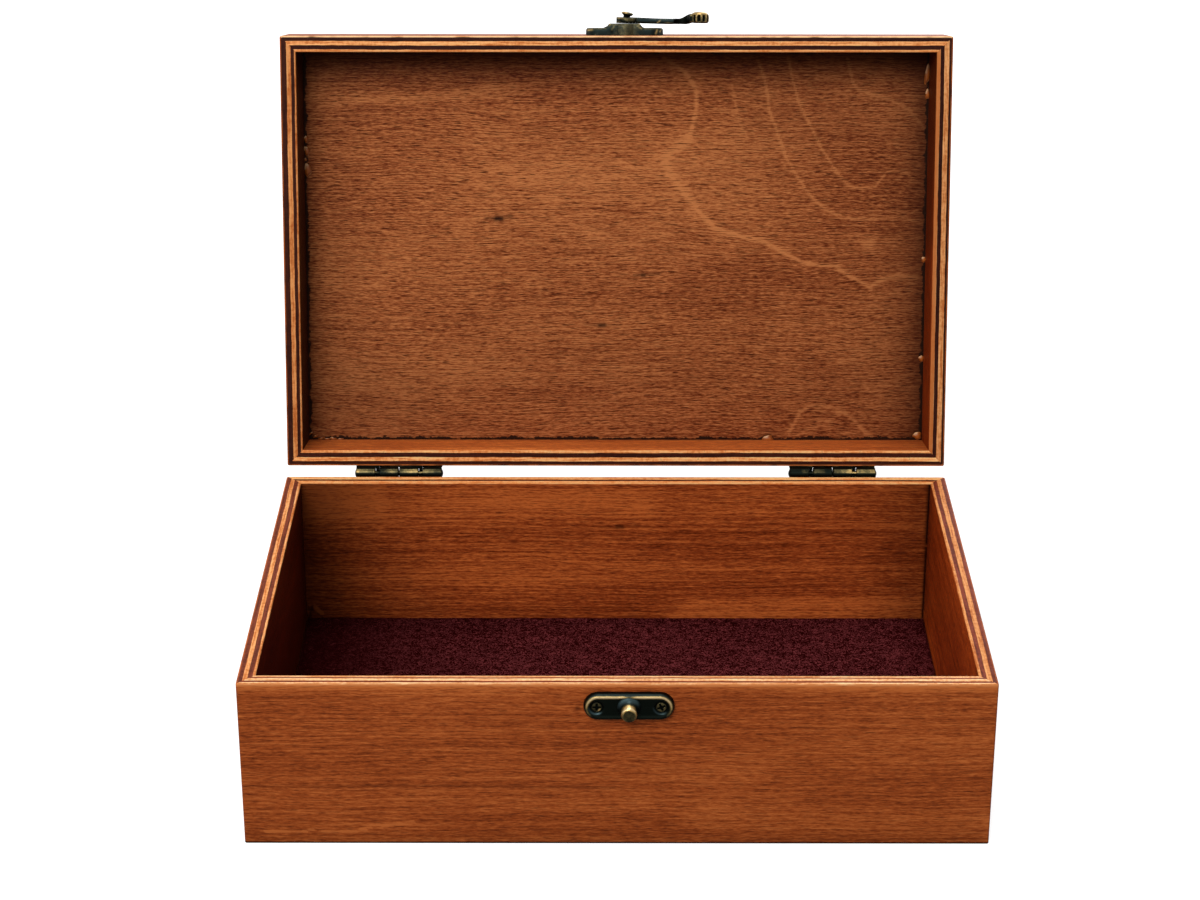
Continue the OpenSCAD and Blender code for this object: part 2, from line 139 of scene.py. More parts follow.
def even_grid(low, high, pitch):
    """The x and y of a rectangle's points, in rows, at about that pitch."""
    columns, rows = ((high[:2] - low[:2]) / pitch).astype(int)
    return np.meshgrid(np.linspace(low[0], high[0], columns), np.linspace(low[1], high[1], rows))


def closed_grid(rows, columns, up):
    """The faces of a grid of points and of one more ring of points, all round its edge, which
    closes it: quads of the grid, quads of its sides, and one face across the ring. Returns the
    grid's own edge too, in the ring's order."""
    grid = np.arange(rows * columns).reshape(rows, columns)
    edge = np.concatenate([grid[0, :-1], grid[:-1, -1], grid[-1, :0:-1], grid[:0:-1, 0]])
    ring = rows * columns + np.arange(len(edge))
    sides = np.stack([edge, ring, np.roll(ring, -1), np.roll(edge, -1)], 1)
    faces = [grid_quads(rows, columns), sides, ring[None, ::-1]]
    return edge, faces if up else [f[:, ::-1] for f in faces]


def make_piece(name, points, faces, finish, body, layers=None, sharp=35.0):
    """A mesh object from points and lists of equal-sided faces, with named point attributes."""
    mesh = bpy.data.meshes.new(name)
    points = np.ascontiguousarray(points, dtype=np.float32)
    corners = np.concatenate([np.asarray(f).ravel() for f in faces]).astype(np.int32)
    sides = np.concatenate([np.full(len(f), np.asarray(f).shape[1]) for f in faces])
    starts = np.concatenate([[0], np.cumsum(sides)[:-1]]).astype(np.int32)
    mesh.vertices.add(len(points))
    mesh.vertices.foreach_set("co", points.ravel())
    mesh.loops.add(len(corners))
    mesh.polygons.add(len(sides))
    mesh.polygons.foreach_set("loop_start", starts)
    mesh.polygons.foreach_set("vertices", corners)
    mesh.update(calc_edges=True)
    mesh.shade_smooth()
    mesh.set_sharp_from_angle(angle=math.radians(sharp))
    for layer, values in (layers or {}).items():
        values = np.ascontiguousarray(values, dtype=np.float32)
        if values.size == 1:
            values = np.full(len(points), values.item(), np.float32)
        vector = values.ndim == 2
        attribute = mesh.attributes.new(layer, "FLOAT_VECTOR" if vector else "FLOAT", "POINT")
        attribute.data.foreach_set("vector" if vector else "value", values.ravel())
    mesh.materials.append(finish)
    piece = bpy.data.objects.new(name, mesh)
    bpy.context.scene.collection.objects.link(piece)
    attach(piece, body)
    return piece


def joined(parts):
    """One set of points, faces and layers from several (points, faces, layers)."""
    offset, points, faces, layers = 0, [], [], {}
    for part_points, part_faces, part_layers in parts:
        points.append(part_points)
        faces += [np.asarray(f) + offset for f in part_faces]
        for key, values in part_layers.items():
            layers.setdefault(key, []).append(values)
        offset += len(part_points)
    merged = {key: np.concatenate(values) for key, values in layers.items()}
    return np.concatenate(points), faces, merged


# ---- shader maths ----


def math_node(operation, flipped=False):
    """A method of Value that adds the Math node of that operation."""
    def method(self, other):
        values = [other, self] if flipped else [self, other]
        return self.finish.node("ShaderNodeMath", {"operation": operation}, values)
    return method


class Value:
    """A socket in a finish, with the arithmetic that adds Math nodes."""

    def __init__(self, finish, socket):
        self.finish, self.socket = finish, socket

    __add__, __radd__ = math_node("ADD"), math_node("ADD", True)
    __sub__, __rsub__ = math_node("SUBTRACT"), math_node("SUBTRACT", True)
    __mul__, __rmul__ = math_node("MULTIPLY"), math_node("MULTIPLY", True)
    __truediv__, __pow__ = math_node("DIVIDE"), math_node("POWER")
    most = math_node("MAXIMUM")

    def step(self, low, high):
        """0 below low, 1 above high, and smooth between; low may be the larger."""
        return self.finish.node(
            "ShaderNodeMapRange", {"interpolation_type": "SMOOTHSTEP"},
            {"Value": self, "From Min": low, "From Max": high}, "Result")

    def band(self, low, high, soft):
        """1 between low and high, and 0 outside, with soft edges."""
        return self.step(low - soft, low + soft) * self.step(high + soft, high - soft)


class Finish:
    """A material, or the world, in the making: every node of it comes from node()."""

    def __init__(self, name, kind="materials"):
        self.made = getattr(bpy.data, kind).new(name)
        self.made.use_nodes = True
        self.tree = self.made.node_tree
        self.tree.nodes.clear()

    def node(self, kind, settings=None, values=None, output=0):
        """Adds a node: settings first, then the values or links of its sockets, which go by name
        or number. A colour of three parts is given its alpha."""
        node = self.tree.nodes.new(kind)
        for key, setting in (settings or {}).items():
            setattr(node, key, setting)
        pairs = values.items() if isinstance(values, dict) else enumerate(values or [])
        for key, value in pairs:
            socket = node.inputs[key]
            if isinstance(value, Value):
                self.tree.links.new(value.socket, socket)
            else:
                socket.default_value = (*value, 1.0) if socket.type == "RGBA" else value
        return Value(self, node.outputs[output]) if len(node.outputs) else None

    def outputs(self, kind, names, values=None):
        """Several outputs of one new node."""
        node = self.node(kind, None, values).socket.node
        return [Value(self, node.outputs[name]) for name in names]

    def place(self):
        """The point of the surface in the object's own space, in metres."""
        return self.node("ShaderNodeTexCoord", output="Object")

    def layer(self, name, output="Fac"):
        """A point attribute of the mesh."""
        return self.node("ShaderNodeAttribute", {"attribute_name": name}, None, output)

    def moved(self, vector, offset):
        """A vector with an offset added."""
        return self.node("ShaderNodeVectorMath", {"operation": "ADD"}, [vector, offset])

    def axes(self, vector):
        """The three parts of a vector."""
        return self.outputs("ShaderNodeSeparateXYZ", (0, 1, 2), [vector])

    def vector(self, x, y, z):
        """A vector from its three parts."""
        return self.node("ShaderNodeCombineXYZ", None, [x, y, z])

    def noise(self, vector, scale=1.0, detail=2.0, roughness=0.5, warp=0.0):
        """Noise with a number of lumps in a metre, or with one for each axis."""
        if isinstance(scale, tuple):
            vector, scale = self.node(
                "ShaderNodeVectorMath", {"operation": "MULTIPLY"}, [vector, scale]), 1.0
        values = {"Vector": vector, "Scale": scale, "Detail": detail,
                  "Roughness": roughness, "Distortion": warp}
        return self.node("ShaderNodeTexNoise", None, values, "Fac")

    def ramp(self, value, stops):
        """Colours between stops of a place and a colour."""
        colour = self.node("ShaderNodeValToRGB", None, [value], "Color")
        elements = colour.socket.node.color_ramp.elements
        while len(elements) > 1:
            elements.remove(elements[-1])
        for k, (place, shade) in enumerate(stops):
            stop = elements[0] if k == 0 else elements.new(place)
            stop.position, stop.color = place, (*shade, 1.0)
        return colour

    def mix(self, share, first, second):
        """The second colour laid over the first by a share."""
        return self.node("ShaderNodeMix", {"data_type": "RGBA"}, {0: share, 6: first, 7: second}, 2)

    def bump(self, height, depth):
        """A relief of that depth in metres, for a height between 0 and 1."""
        values = {"Strength": 1.0, "Distance": depth, "Height": height}
        return self.node("ShaderNodeBump", None, values, "Normal")

    def shader(self, **sockets):
        """The principled shader, by its sockets' names, joined to the output."""
        values = {key.replace("_", " ").title().replace("Ior", "IOR"): value
                  for key, value in sockets.items()}
        shader = self.node("ShaderNodeBsdfPrincipled", None, values, "BSDF")
        self.node("ShaderNodeOutputMaterial", None, {"Surface": shader})
        return self.made


def linear(red, green, blue):
    """A screen colour of 0 to 255 as the linear values that shaders use."""
    parts = []
    for part in (red, green, blue):
        part = part / 255
        parts.append(part / 12.92 if part <= 0.04045 else ((part + 0.055) / 1.055) ** 2.4)
    return tuple(parts)


def scaled_colour(colour, *shares):
    """A colour with its parts multiplied by one share, or by three."""
    shares = shares if len(shares) == 3 else shares * 3
    return tuple(min(1.0, part * share) for part, share in zip(colour, shares))


# ---- finishes ----

GLOSS = 0.05  # the wood's specular level
CORE_LINE = 0.35  # strength of the thin line in the middle of the light ply
HIGHLIGHT_SIDE = (0.68, 0.73)  # out and up, from a hinge's axis to the side that takes the painted highlight
BARREL = 2.5 * MM  # radius that holds all of a hinge's barrel


def grain(f, spot, sway_by, lines, fibres, specks, pores, clouds):
    """Wood grain on a vector of along the grain, across it and depth: a tone about 0.5, open pores
    from 0 to 1 and a relief. Each of the others is how often it repeats along and across in a
    metre, and its weight. Neighbouring lines are shifted along the grain, so that none of them
    start side by side."""
    sway = f.noise(spot, (11.0, 24.0, 60.0))
    along, up, depth = f.axes(spot)
    across = up + (sway - 0.5) * sway_by
    shift = f.noise(f.vector(along * 3.0, across * 520.0, depth * 170.0), 1.0, 2.0, 0.7)

    def layer(often, detail, roughness, slip):
        spread = (along + (shift - 0.5) * slip) * often[0]
        return f.noise(f.vector(spread, across * often[1], depth * 170.0), 1.0, detail, roughness)

    long_lines = layer(lines, 2.0, 0.7, 0.12)
    short_fibres = layer(fibres, 4.0, 0.85, 0.03)
    fine_specks = layer(specks, 2.0, 0.6, 0.01)
    open_pores = layer(pores, 1.0, 0.5, 0.03).step(0.60, 0.68)
    cloud = f.noise(spot, (clouds[0], clouds[1], 60.0), 4.0, 0.6)
    tone = ((long_lines - 0.5) * lines[2] + (short_fibres - 0.5) * fibres[2]
            + (fine_specks - 0.5) * specks[2] + (cloud - 0.5) * clouds[2] + 0.5)
    return tone, open_pores * pores[2], short_fibres - open_pores


def board_finish(name, look, edges, seed, outer, inner):
    """Stained plywood on the board attribute: along the grain, up the board, and depth from its
    outer face. The plies show on the rim, where the rim attribute is 1."""
    f = Finish(name)
    board = f.layer("board", "Vector")
    spot = f.moved(board, (seed, seed * 0.37, 0.0))
    tone, pores, relief = grain(
        f, spot, 0.004, lines=(6.0, 800.0, 0.9), fibres=(100.0, 1250.0, 1.6),
        specks=(420.0, 1700.0, 1.0), pores=(160.0, 2600.0, 0.4), clouds=(6.0, 30.0, 0.85))
    # pale marks: the grain's figure, and also painted light and a painted highlight where the marks
    # say
    tone = tone + f.layer("figure") * 0.9

    def stained(dark, middle, light):
        colour = f.ramp(tone, [(0.10, dark), (0.5, middle), (0.90, light)])
        return f.mix(pores, colour, scaled_colour(dark, 0.35))

    depth = f.axes(board)[2]
    inside = depth.step(edges[4] - 0.2 * MM, edges[4])
    face = f.mix(inside, stained(*outer), stained(*inner))
    # painted shade: darker in the inner corners and towards the foot of the outer faces, with a
    # painted contact shadow where the box stands; partly stain gathered at the ends
    face = f.mix(f.layer("soak"), face, scaled_colour(inner[0], 0.12))
    # dark marks, and bands of painted shade on the back wall
    face = f.mix(f.layer("knot"), face, scaled_colour(inner[0], 0.15))
    plies, dark_ply, grit = ply_edges(f, look, spot, depth, edges)
    rim = f.layer("rim")
    colour = f.mix(rim, face, plies)
    # the arris: rubbed wear, and a painted highlight where its colour is pale
    rubbed = f.noise(spot, (160.0, 1.0, 1.0), 3.0).step(0.2, 0.6)
    colour = f.mix(f.layer("arris") * rubbed, colour, look["arris"])
    sunk = (1 - rim) * relief + rim * (grit * 0.7 - dark_ply * 0.8)
    return f.shader(
        base_color=colour,
        roughness=(tone - 0.5) * 0.2 + 0.45 + rim * 0.1,
        specular_ior_level=GLOSS,
        normal=f.bump(sunk, 0.05 * MM))


def ply_edges(f, look, spot, depth, edges):
    """The sawn plies by depth: dark between the first and second edges and between the third and
    fourth, light elsewhere, and dark outside the first edge too where the veneer is dark. Returns
    their colour, where they are dark, and their grit."""
    grit = f.noise(spot, (150.0, 1.0, 4200.0), 3.0, 0.7)
    mottle = f.noise(spot, (45.0, 1.0, 900.0), 3.0, 0.65)
    ticks = f.noise(spot, (900.0, 1.0, 700.0), 2.0)
    wander = (f.noise(spot, (25.0, 1.0, 1.0), 1.0) * 0.5
              + f.noise(spot, (170.0, 1.0, 1.0), 2.0) * 0.35 - 0.425)
    ply = depth + wander * MM
    soft = 0.06 * MM
    dark_ply = ply.band(edges[0], edges[1], soft).most(ply.band(edges[2], edges[3], soft))
    if look["dark_veneer"]:
        dark_ply = dark_ply.most(ply.step(edges[0] + soft, edges[0] - soft))
    shade = (grit - 0.5) * 2.2 + (mottle - 0.5) * 2.4 + (ticks - 0.5) * 1.2 + 0.5
    light = f.ramp(shade, [(0.1, look["light_low"]), (0.5, look["light_ply"]),
                           (0.9, look["light_high"])])
    light = f.mix(ticks.step(0.66, 0.76) * 0.5, light, look["light_nick"])
    innermost = ply.step(edges[3], edges[3] + 0.2 * MM)
    light = f.mix(innermost * look["inner_low"], light, look["light_low"])
    dark = f.ramp(shade, [(0.2, look["dark_low"]), (0.8, look["dark_ply"])])
    middle = 0.5 * (edges[1] + edges[2])
    core = ply.band(middle - 0.05 * MM, middle + 0.05 * MM, 0.04 * MM)
    light = f.mix(core * CORE_LINE, light, look["light_nick"])
    return f.mix(dark_ply, light, dark), dark_ply, grit


def panel_finish(name, look, seed):
    """The lid's thin plywood, by a frame of its own: along the grain, across it, and depth. The
    figure attribute is the strength of its pale veins, knot that of its dark knots and of the
    painted shadow round some glue beads, and stain that of the painted shade along its edges, where
    the rails shade it, partly stain gathered there."""
    f = Finish(name)
    board = f.layer("board", "Vector")
    spot = f.moved(board, (seed, seed * 0.37, 0.0))
    tone, pores, relief = grain(
        f, spot, 0.006, lines=(9.0, 1300.0, 1.0), fibres=(80.0, 1900.0, 2.8),
        specks=(420.0, 3800.0, 2.6), pores=(170.0, 2600.0, 0.8), clouds=(7.0, 20.0, 1.15))
    tone = tone + f.layer("figure") * (relief * 1.1 + 0.7)
    colour = f.ramp(tone, [(0.05, look["panel_dark"]), (0.5, look["panel"]),
                           (0.95, look["panel_light"])])
    colour = f.mix(pores, colour, look["panel_pore"])
    # painted shade along the panel's edges, partly stain gathered there
    colour = f.mix(f.layer("stain"), colour, look["panel_shade"])
    colour = f.mix(f.layer("knot"), colour, look["panel_knot"])
    ragged = f.noise(spot, (230.0, 230.0, 1.0), 3.0, 0.75)
    crack = (f.layer("gap") - (ragged - 0.5) * 4.5).step(1.2, 0.75)
    colour = f.mix(crack * 0.95, colour, look["panel_knot"])
    stained = f.ramp((tone - 0.5) * 0.7 + 0.5, [
        (0.10, look["stain_dark"]), (0.5, look["stain"]), (0.90, look["stain_light"])])
    colour = f.mix(f.layer("outside"), colour, stained)
    return f.shader(
        base_color=colour,
        roughness=(tone - 0.5) * 0.2 + 0.5,
        specular_ior_level=GLOSS,
        normal=f.bump(relief, 0.07 * MM))


def felt_finish(look):
    """Matt wool felt: clumps of curled fibres, lighter on their crowns in a painted sheen, and
    darkened by the painted shade that the box's walls cast on it.
    """
    f = Finish("burgundy_felt")
    place = f.place()
    clumps = f.noise(place, 420.0, 4.0, 0.62, warp=1.2)
    curls = f.noise(place, 760.0, 3.0, 0.66, warp=2.5)
    worn = f.noise(place, 22.0, 2.0)
    tone = (clumps - 0.5) * 3.2 + (curls - 0.5) * 8.0 + (worn - 0.5) * 0.4 + 0.38
    colour = f.ramp(tone, [(0.12, look["felt_dark"]), (0.5, look["felt"]),
                           (0.84, look["felt_light"]), (1.0, look["felt_crown_sheen"])])
    # painted shade cast by the box's walls, darkest near the left wall
    colour = f.mix(f.layer("soak"), colour, look["felt_dark"])
    return f.shader(
        base_color=colour, roughness=0.95, specular_ior_level=0.0,
        normal=f.bump(clumps * 0.6 + curls * 0.4, 0.5 * MM))


def fibre_finish(look):
    """The loose fibres of the felt's nap."""
    f = Finish("felt_fibres")
    tone = f.noise(f.place(), 700.0, 1.0)
    colour = f.ramp(tone, [(0.3, look["felt"]), (0.7, look["felt_fibre"])])
    return f.shader(base_color=colour, roughness=0.9, specular_ior_level=0.0)


def metal_skin(f, look, rub, shine, grime):
    """Patinated bronze from how far it is rubbed to brass or lit to a painted highlight, how much
    bluish painted reflection of the sky it shows, and how grimy or in painted shade it is.
    """
    place = f.place()
    cloud = f.noise(place, 700.0, 3.0, 0.6)
    speck = f.noise(place, 2600.0, 2.0, 0.6)
    worn = rub + ((cloud - 0.5) * 0.5 + (speck - 0.5) * 0.4) * (rub * (1 - rub) * 3.6 + 0.1)
    colour = f.ramp(worn, [(0.08, look["bronze"]), (0.3, look["old_brass"]),
                           (0.62, look["brass"]), (1.0, look["bright_brass"])])
    # a bluish painted reflection of the sky
    colour = f.mix(shine, colour, look["sky_blue"])
    colour = f.mix(grime, colour, look["grime"])
    return f.shader(
        base_color=colour,
        metallic=0.9,
        roughness=(speck - 0.5) * 0.2 + 0.42 - rub.step(0.0, 1.0) * 0.1,
        specular_ior_level=0.1,
        normal=f.bump(cloud * 0.5 + speck * 0.5, 0.02 * MM))


def worn_bronze(name, look):
    """Bronze whose wear and painted highlights, painted reflection of the sky, and grime and
    painted shade are written on the piece's points.
    """
    f = Finish(name)
    return metal_skin(f, look, f.layer("rub"), f.layer("shine"), f.layer("grime"))


def worn_hinge(name, look, flat_rub):
    """Bronze whose barrels take a painted highlight along the side that faces out and a little up,
    in a band whose strength is soft in the cosine of the angle round the hinge's axis, with painted
    shade on them away from that band. Away from the barrels it is rubbed in patches about flat_rub."""
    f = Finish(name)
    place = f.place()
    _, y, z = f.axes(place)
    out, up = HINGE_AT[1] - y, z - HINGE_AT[2]
    radius = (out * out + up * up) ** 0.5
    facing = (out * HIGHLIGHT_SIDE[0] + up * HIGHLIGHT_SIDE[1]) / radius
    barrel = radius.step(BARREL + 0.1 * MM, BARREL)
    uneven = f.noise(place, (95.0, 1.0, 1.0), 2.0)
    patch = f.noise(place, 210.0, 3.0, 0.65)
    flat = (1 - barrel) * ((patch - 0.5) * 0.9 + flat_rub)
    # a painted highlight band on the barrels' lit side, and rubbed patches on the leaves
    rub = barrel * facing.step(0.89, 0.99) * ((uneven - 0.5) * 1.8 + 0.16) + flat + 0.04
    # painted shade on the barrels away from the highlight band
    return metal_skin(f, look, rub, 0.0, barrel * facing.step(0.85, 0.6) * 0.7)


def glue_finish(look):
    """Amber glue that ran and set: clear at the crown, dark at its edge in painted shade, and with
    a painted highlight where the glint attribute is high.
    """
    f = Finish("set_glue")
    crown = f.layer("crown")
    colour = f.ramp(crown, [(0.15, look["glue_edge_shade"]), (0.4, look["glue"]),
                            (0.65, look["glue_deep"]), (0.95, look["glue"])])
    colour = f.mix(f.layer("glint"), colour, look["glue_highlight"])
    return f.shader(base_color=colour, roughness=0.22, specular_ior_level=0.15)


# ---- what a user would change ----


def colour_property(title, words, colour):
    """A colour that a user sets."""
    return bpy.props.FloatVectorProperty(
        name=title, description=words, default=colour, size=3, min=0.0, max=1.0, subtype="COLOR")


def length_property(title, words, metres):
    """A length that a user sets."""
    return bpy.props.FloatProperty(
        name=title, description=words, default=metres, min=0.0, unit="LENGTH", precision=5)


def amount_property(title, words, amount, **limits):
    """Any other number that a user sets."""
    return bpy.props.FloatProperty(name=title, description=words, default=amount, **limits)


class KEEPSAKE_PG_wood(bpy.types.PropertyGroup):
    """Sizes and colours of the boards and panels."""

    arris: length_property("Arris", "Radius of the boards' long edges", 0.45 * MM)
    corner: length_property("Corner", "Radius of the mitred corners", 0.7 * MM)
    figure_pitch: length_property("Figure pitch", "Spacing of the lid panel's points", 0.62 * MM)
    stain: colour_property("Stain", "Middle colour of the outer faces", linear(145, 67, 26))
    stain_dark: colour_property("Dark stain", "Dark grain outside", linear(92, 36, 10))
    stain_light: colour_property("Light stain", "Pale grain outside", linear(182, 98, 46))
    inner: colour_property("Inner stain", "Middle colour of the inner faces", linear(136, 62, 26))
    inner_dark: colour_property("Dark inner stain", "Dark grain inside", linear(72, 25, 6))
    inner_light: colour_property("Light inner stain", "Pale grain inside", linear(192, 106, 50))
    light_ply: colour_property("Light ply", "Pale plies on the rims", linear(232, 154, 92))
    dark_ply: colour_property("Dark ply", "Dark plies on the box's rims", linear(112, 54, 40))
    lid_ply: colour_property("Lid's dark ply", "Dark plies on the lid's rims", linear(54, 25, 17))
    panel: colour_property("Lid panel", "Middle colour of the lid's panel", linear(154, 82, 42))


class KEEPSAKE_PG_felt(bpy.types.PropertyGroup):
    """Sizes and colour of the felt."""

    pitch: length_property("Pitch", "Spacing of the felt's points", 0.9 * MM)
    nap: length_property("Nap", "Unevenness of the felt's top", 0.12 * MM)
    fibre: length_property("Fibre", "Length of a loose fibre", 1.7 * MM)
    fibres: bpy.props.IntProperty(
        name="Fibres", description="Number of loose fibres", default=7600, min=0)
    felt: colour_property("Felt", "Colour of the felt", linear(60, 18, 20))


class KEEPSAKE_PG_metal(bpy.types.PropertyGroup):
    """Colours of the fittings."""

    bronze: colour_property("Bronze", "Dark skin of the bronze", linear(12, 17, 13))
    brass: colour_property("Brass", "Metal where the skin is rubbed", linear(165, 136, 84))
    old_brass: colour_property("Old brass", "Half-rubbed metal", linear(80, 72, 46))
    glue: colour_property("Glue", "Set glue at the panel's edge", linear(158, 84, 32))


class KEEPSAKE_PG_stage(bpy.types.PropertyGroup):
    """The camera and the light."""

    lens: amount_property("Lens", "Focal length in millimetres", 83.95, min=1.0)
    pitch: amount_property("Pitch", "Tilt of the camera from straight down",
                           math.radians(65.765), subtype="ANGLE")
    yaw: amount_property("Yaw", "Turn of the camera", math.radians(0.129), subtype="ANGLE")
    key: amount_property("Key light", "Power of the large front light", 25.0, min=0.0)
    fill: amount_property("Fill light", "Power of the light from the left", 6.0, min=0.0)
    top: amount_property("Top light", "Power of the light overhead", 13.0, min=0.0)
    back: amount_property("Back light", "Power of the light behind the lid", 9.0, min=0.0)
    sides: amount_property("Side lights", "Power of each side light", 4.0, min=0.0)
    sky: amount_property("Sky", "Strength of the light all round", 0.02, min=0.0)


def settings(group):
    """What the user has set in one group."""
    return getattr(bpy.context.scene, "keepsake_" + group)


# further colours of the finishes: the colour that each starts from, and its tint
TINTS = {
    "light_low": ("light_ply", 0.68, 0.48, 0.34),
    "light_high": ("light_ply", 1.2, 1.45, 1.7),
    "light_nick": ("light_ply", 0.42, 0.3, 0.2),
    "panel_dark": ("panel", 0.32, 0.18, 0.13),
    "panel_light": ("panel", 1.7, 2.25, 2.6),
    "panel_pore": ("panel", 0.14, 0.08, 0.05),
    # painted shade along the lid panel's edges
    "panel_shade": ("panel", 0.08, 0.05, 0.03),
    "panel_knot": ("panel", 0.03),
    "felt_dark": ("felt", 0.3, 0.1, 0.1),
    "felt_light": ("felt", 2.2, 3.0, 2.8),
    # a painted sheen on the felt's crowns
    "felt_crown_sheen": ("felt", 3.52, 4.8, 4.48),
    "felt_fibre": ("felt", 3.08, 4.2, 3.92),
    "bright_brass": ("brass", 1.5, 1.75, 2.7),
    # a bluish painted reflection of the sky
    "sky_blue": ("brass", 0.1, 0.25, 0.75),
    # darker bronze, for grime and for painted shade
    "grime": ("bronze", 0.35),
    # painted shade at a glue bead's edge
    "glue_edge_shade": ("glue", 0.03),
    "glue_deep": ("glue", 0.5, 0.4, 0.3),
    # painted highlight on the glue
    "glue_highlight": ("glue", 2.5, 6.0, 19.0),
}


def shades():
    """Every finish's colours: those that a user sets, and those worked out from them."""
    look = {}
    for group in ("wood", "felt", "metal"):
        values = settings(group)
        for key, entry in values.bl_rna.properties.items():
            if getattr(entry, "subtype", "") == "COLOR":
                look[key] = tuple(getattr(values, key))
    return look | {name: scaled_colour(look[source], *tint)
                   for name, (source, *tint) in TINTS.items()}


# ---- boards ----


def arc(centre_d, centre_h, radius, start, end, steps=5):
    """Points of a quarter round in depth and height, from a start to an end angle in degrees."""
    angles = np.radians(np.linspace(start, end, steps))
    return np.stack([centre_d + radius * np.cos(angles), centre_h + radius * np.sin(angles)], 1)


def board_section(height, arris, edges, rows):
    """The board's outline in depth from its outer face and height from its panel side: up the
    outer face, over the rim, down the inner face and round the rabbet that holds the panel."""
    foot, collar = 0.25 * MM, height - arris - 0.8 * MM
    levels = np.linspace(0, 1, rows + 2)[1:-1, None]
    outer = np.array([[0, 3 * foot]]) + levels * np.array([[0, collar - 3 * foot]])
    inner_top = np.array([[WALL, height - arris]])
    inner_foot = np.array([[WALL, PANEL_T]])
    beside = arris + 0.2 * MM
    plies = np.array([[edge, height] for edge in edges if beside < edge < WALL - arris])
    return np.concatenate([
        arc(foot, foot, foot, 270, 180, 4), [[0, 2 * foot], [0, 3 * foot]], outer,
        [[0, collar]],
        arc(arris, height - arris, arris, 180, 90), [[beside, height]], plies,
        arc(WALL - arris, height - arris, arris, 90, 0),
        inner_top + levels * (inner_foot - inner_top), inner_foot,
        np.array([[WALL - RABBET, PANEL_T], [WALL - RABBET, 0]])])


def board(length, height, wood, edges, along, up, outward, origin, pitch):
    """A profile carried along a straight path and mitred at 45 degrees. A point at depth d lies at
    length / 2 - d from the middle at its ends. There the outer face is drawn in by a round of the
    corner's radius R, R - R cos a at a distance R sin a, which fades out at the inner face."""
    section = board_section(height, wood.arris, edges, int(height / pitch))
    depth, rise = section[:, 0], section[:, 1]
    quarter = math.radians(45)
    angles = np.linspace(quarter, 0, 6)
    fade = 1 - depth / WALL
    drawn_in = wood.corner * (1 - np.cos(angles))[:, None] * fade[None, :]
    mitre = length / 2 - depth - wood.corner * (1 - math.cos(quarter)) * fade
    pulled = wood.corner * (math.sin(quarter) - np.sin(angles))
    near = mitre[None, :] - pulled[:, None]
    share = np.linspace(1, -1, int(length / pitch))[1:-1, None]
    middle = share * near[-1][None, :]
    x = np.concatenate([near, middle, -near[::-1]])
    inset = np.concatenate([drawn_in, np.zeros_like(middle), drawn_in[::-1]])
    d = depth[None, :] + inset
    h = np.broadcast_to(rise, d.shape)
    along, up = np.array(along, float), np.array(up, float)
    points = origin + x[..., None] * along + h[..., None] * up - d[..., None] * outward
    faces = capped(*x.shape)
    if np.dot(np.cross(along, up), outward) < 0:
        faces = [f[:, ::-1] for f in faces]
    edge = wood.arris * 1.01
    layers = {
        "arris": ((depth <= edge) & (rise >= height - edge)) * 1.0,
        "board": np.stack([x, h, np.broadcast_to(depth, d.shape)], -1).reshape(-1, 3),
        "rim": ((rise - (height - wood.arris)) / wood.arris).clip(0, 1) ** 0.7,
    }
    for key in ("arris", "rim"):
        layers[key] = np.broadcast_to(layers[key], d.shape).ravel()
    return points.reshape(-1, 3), faces, layers


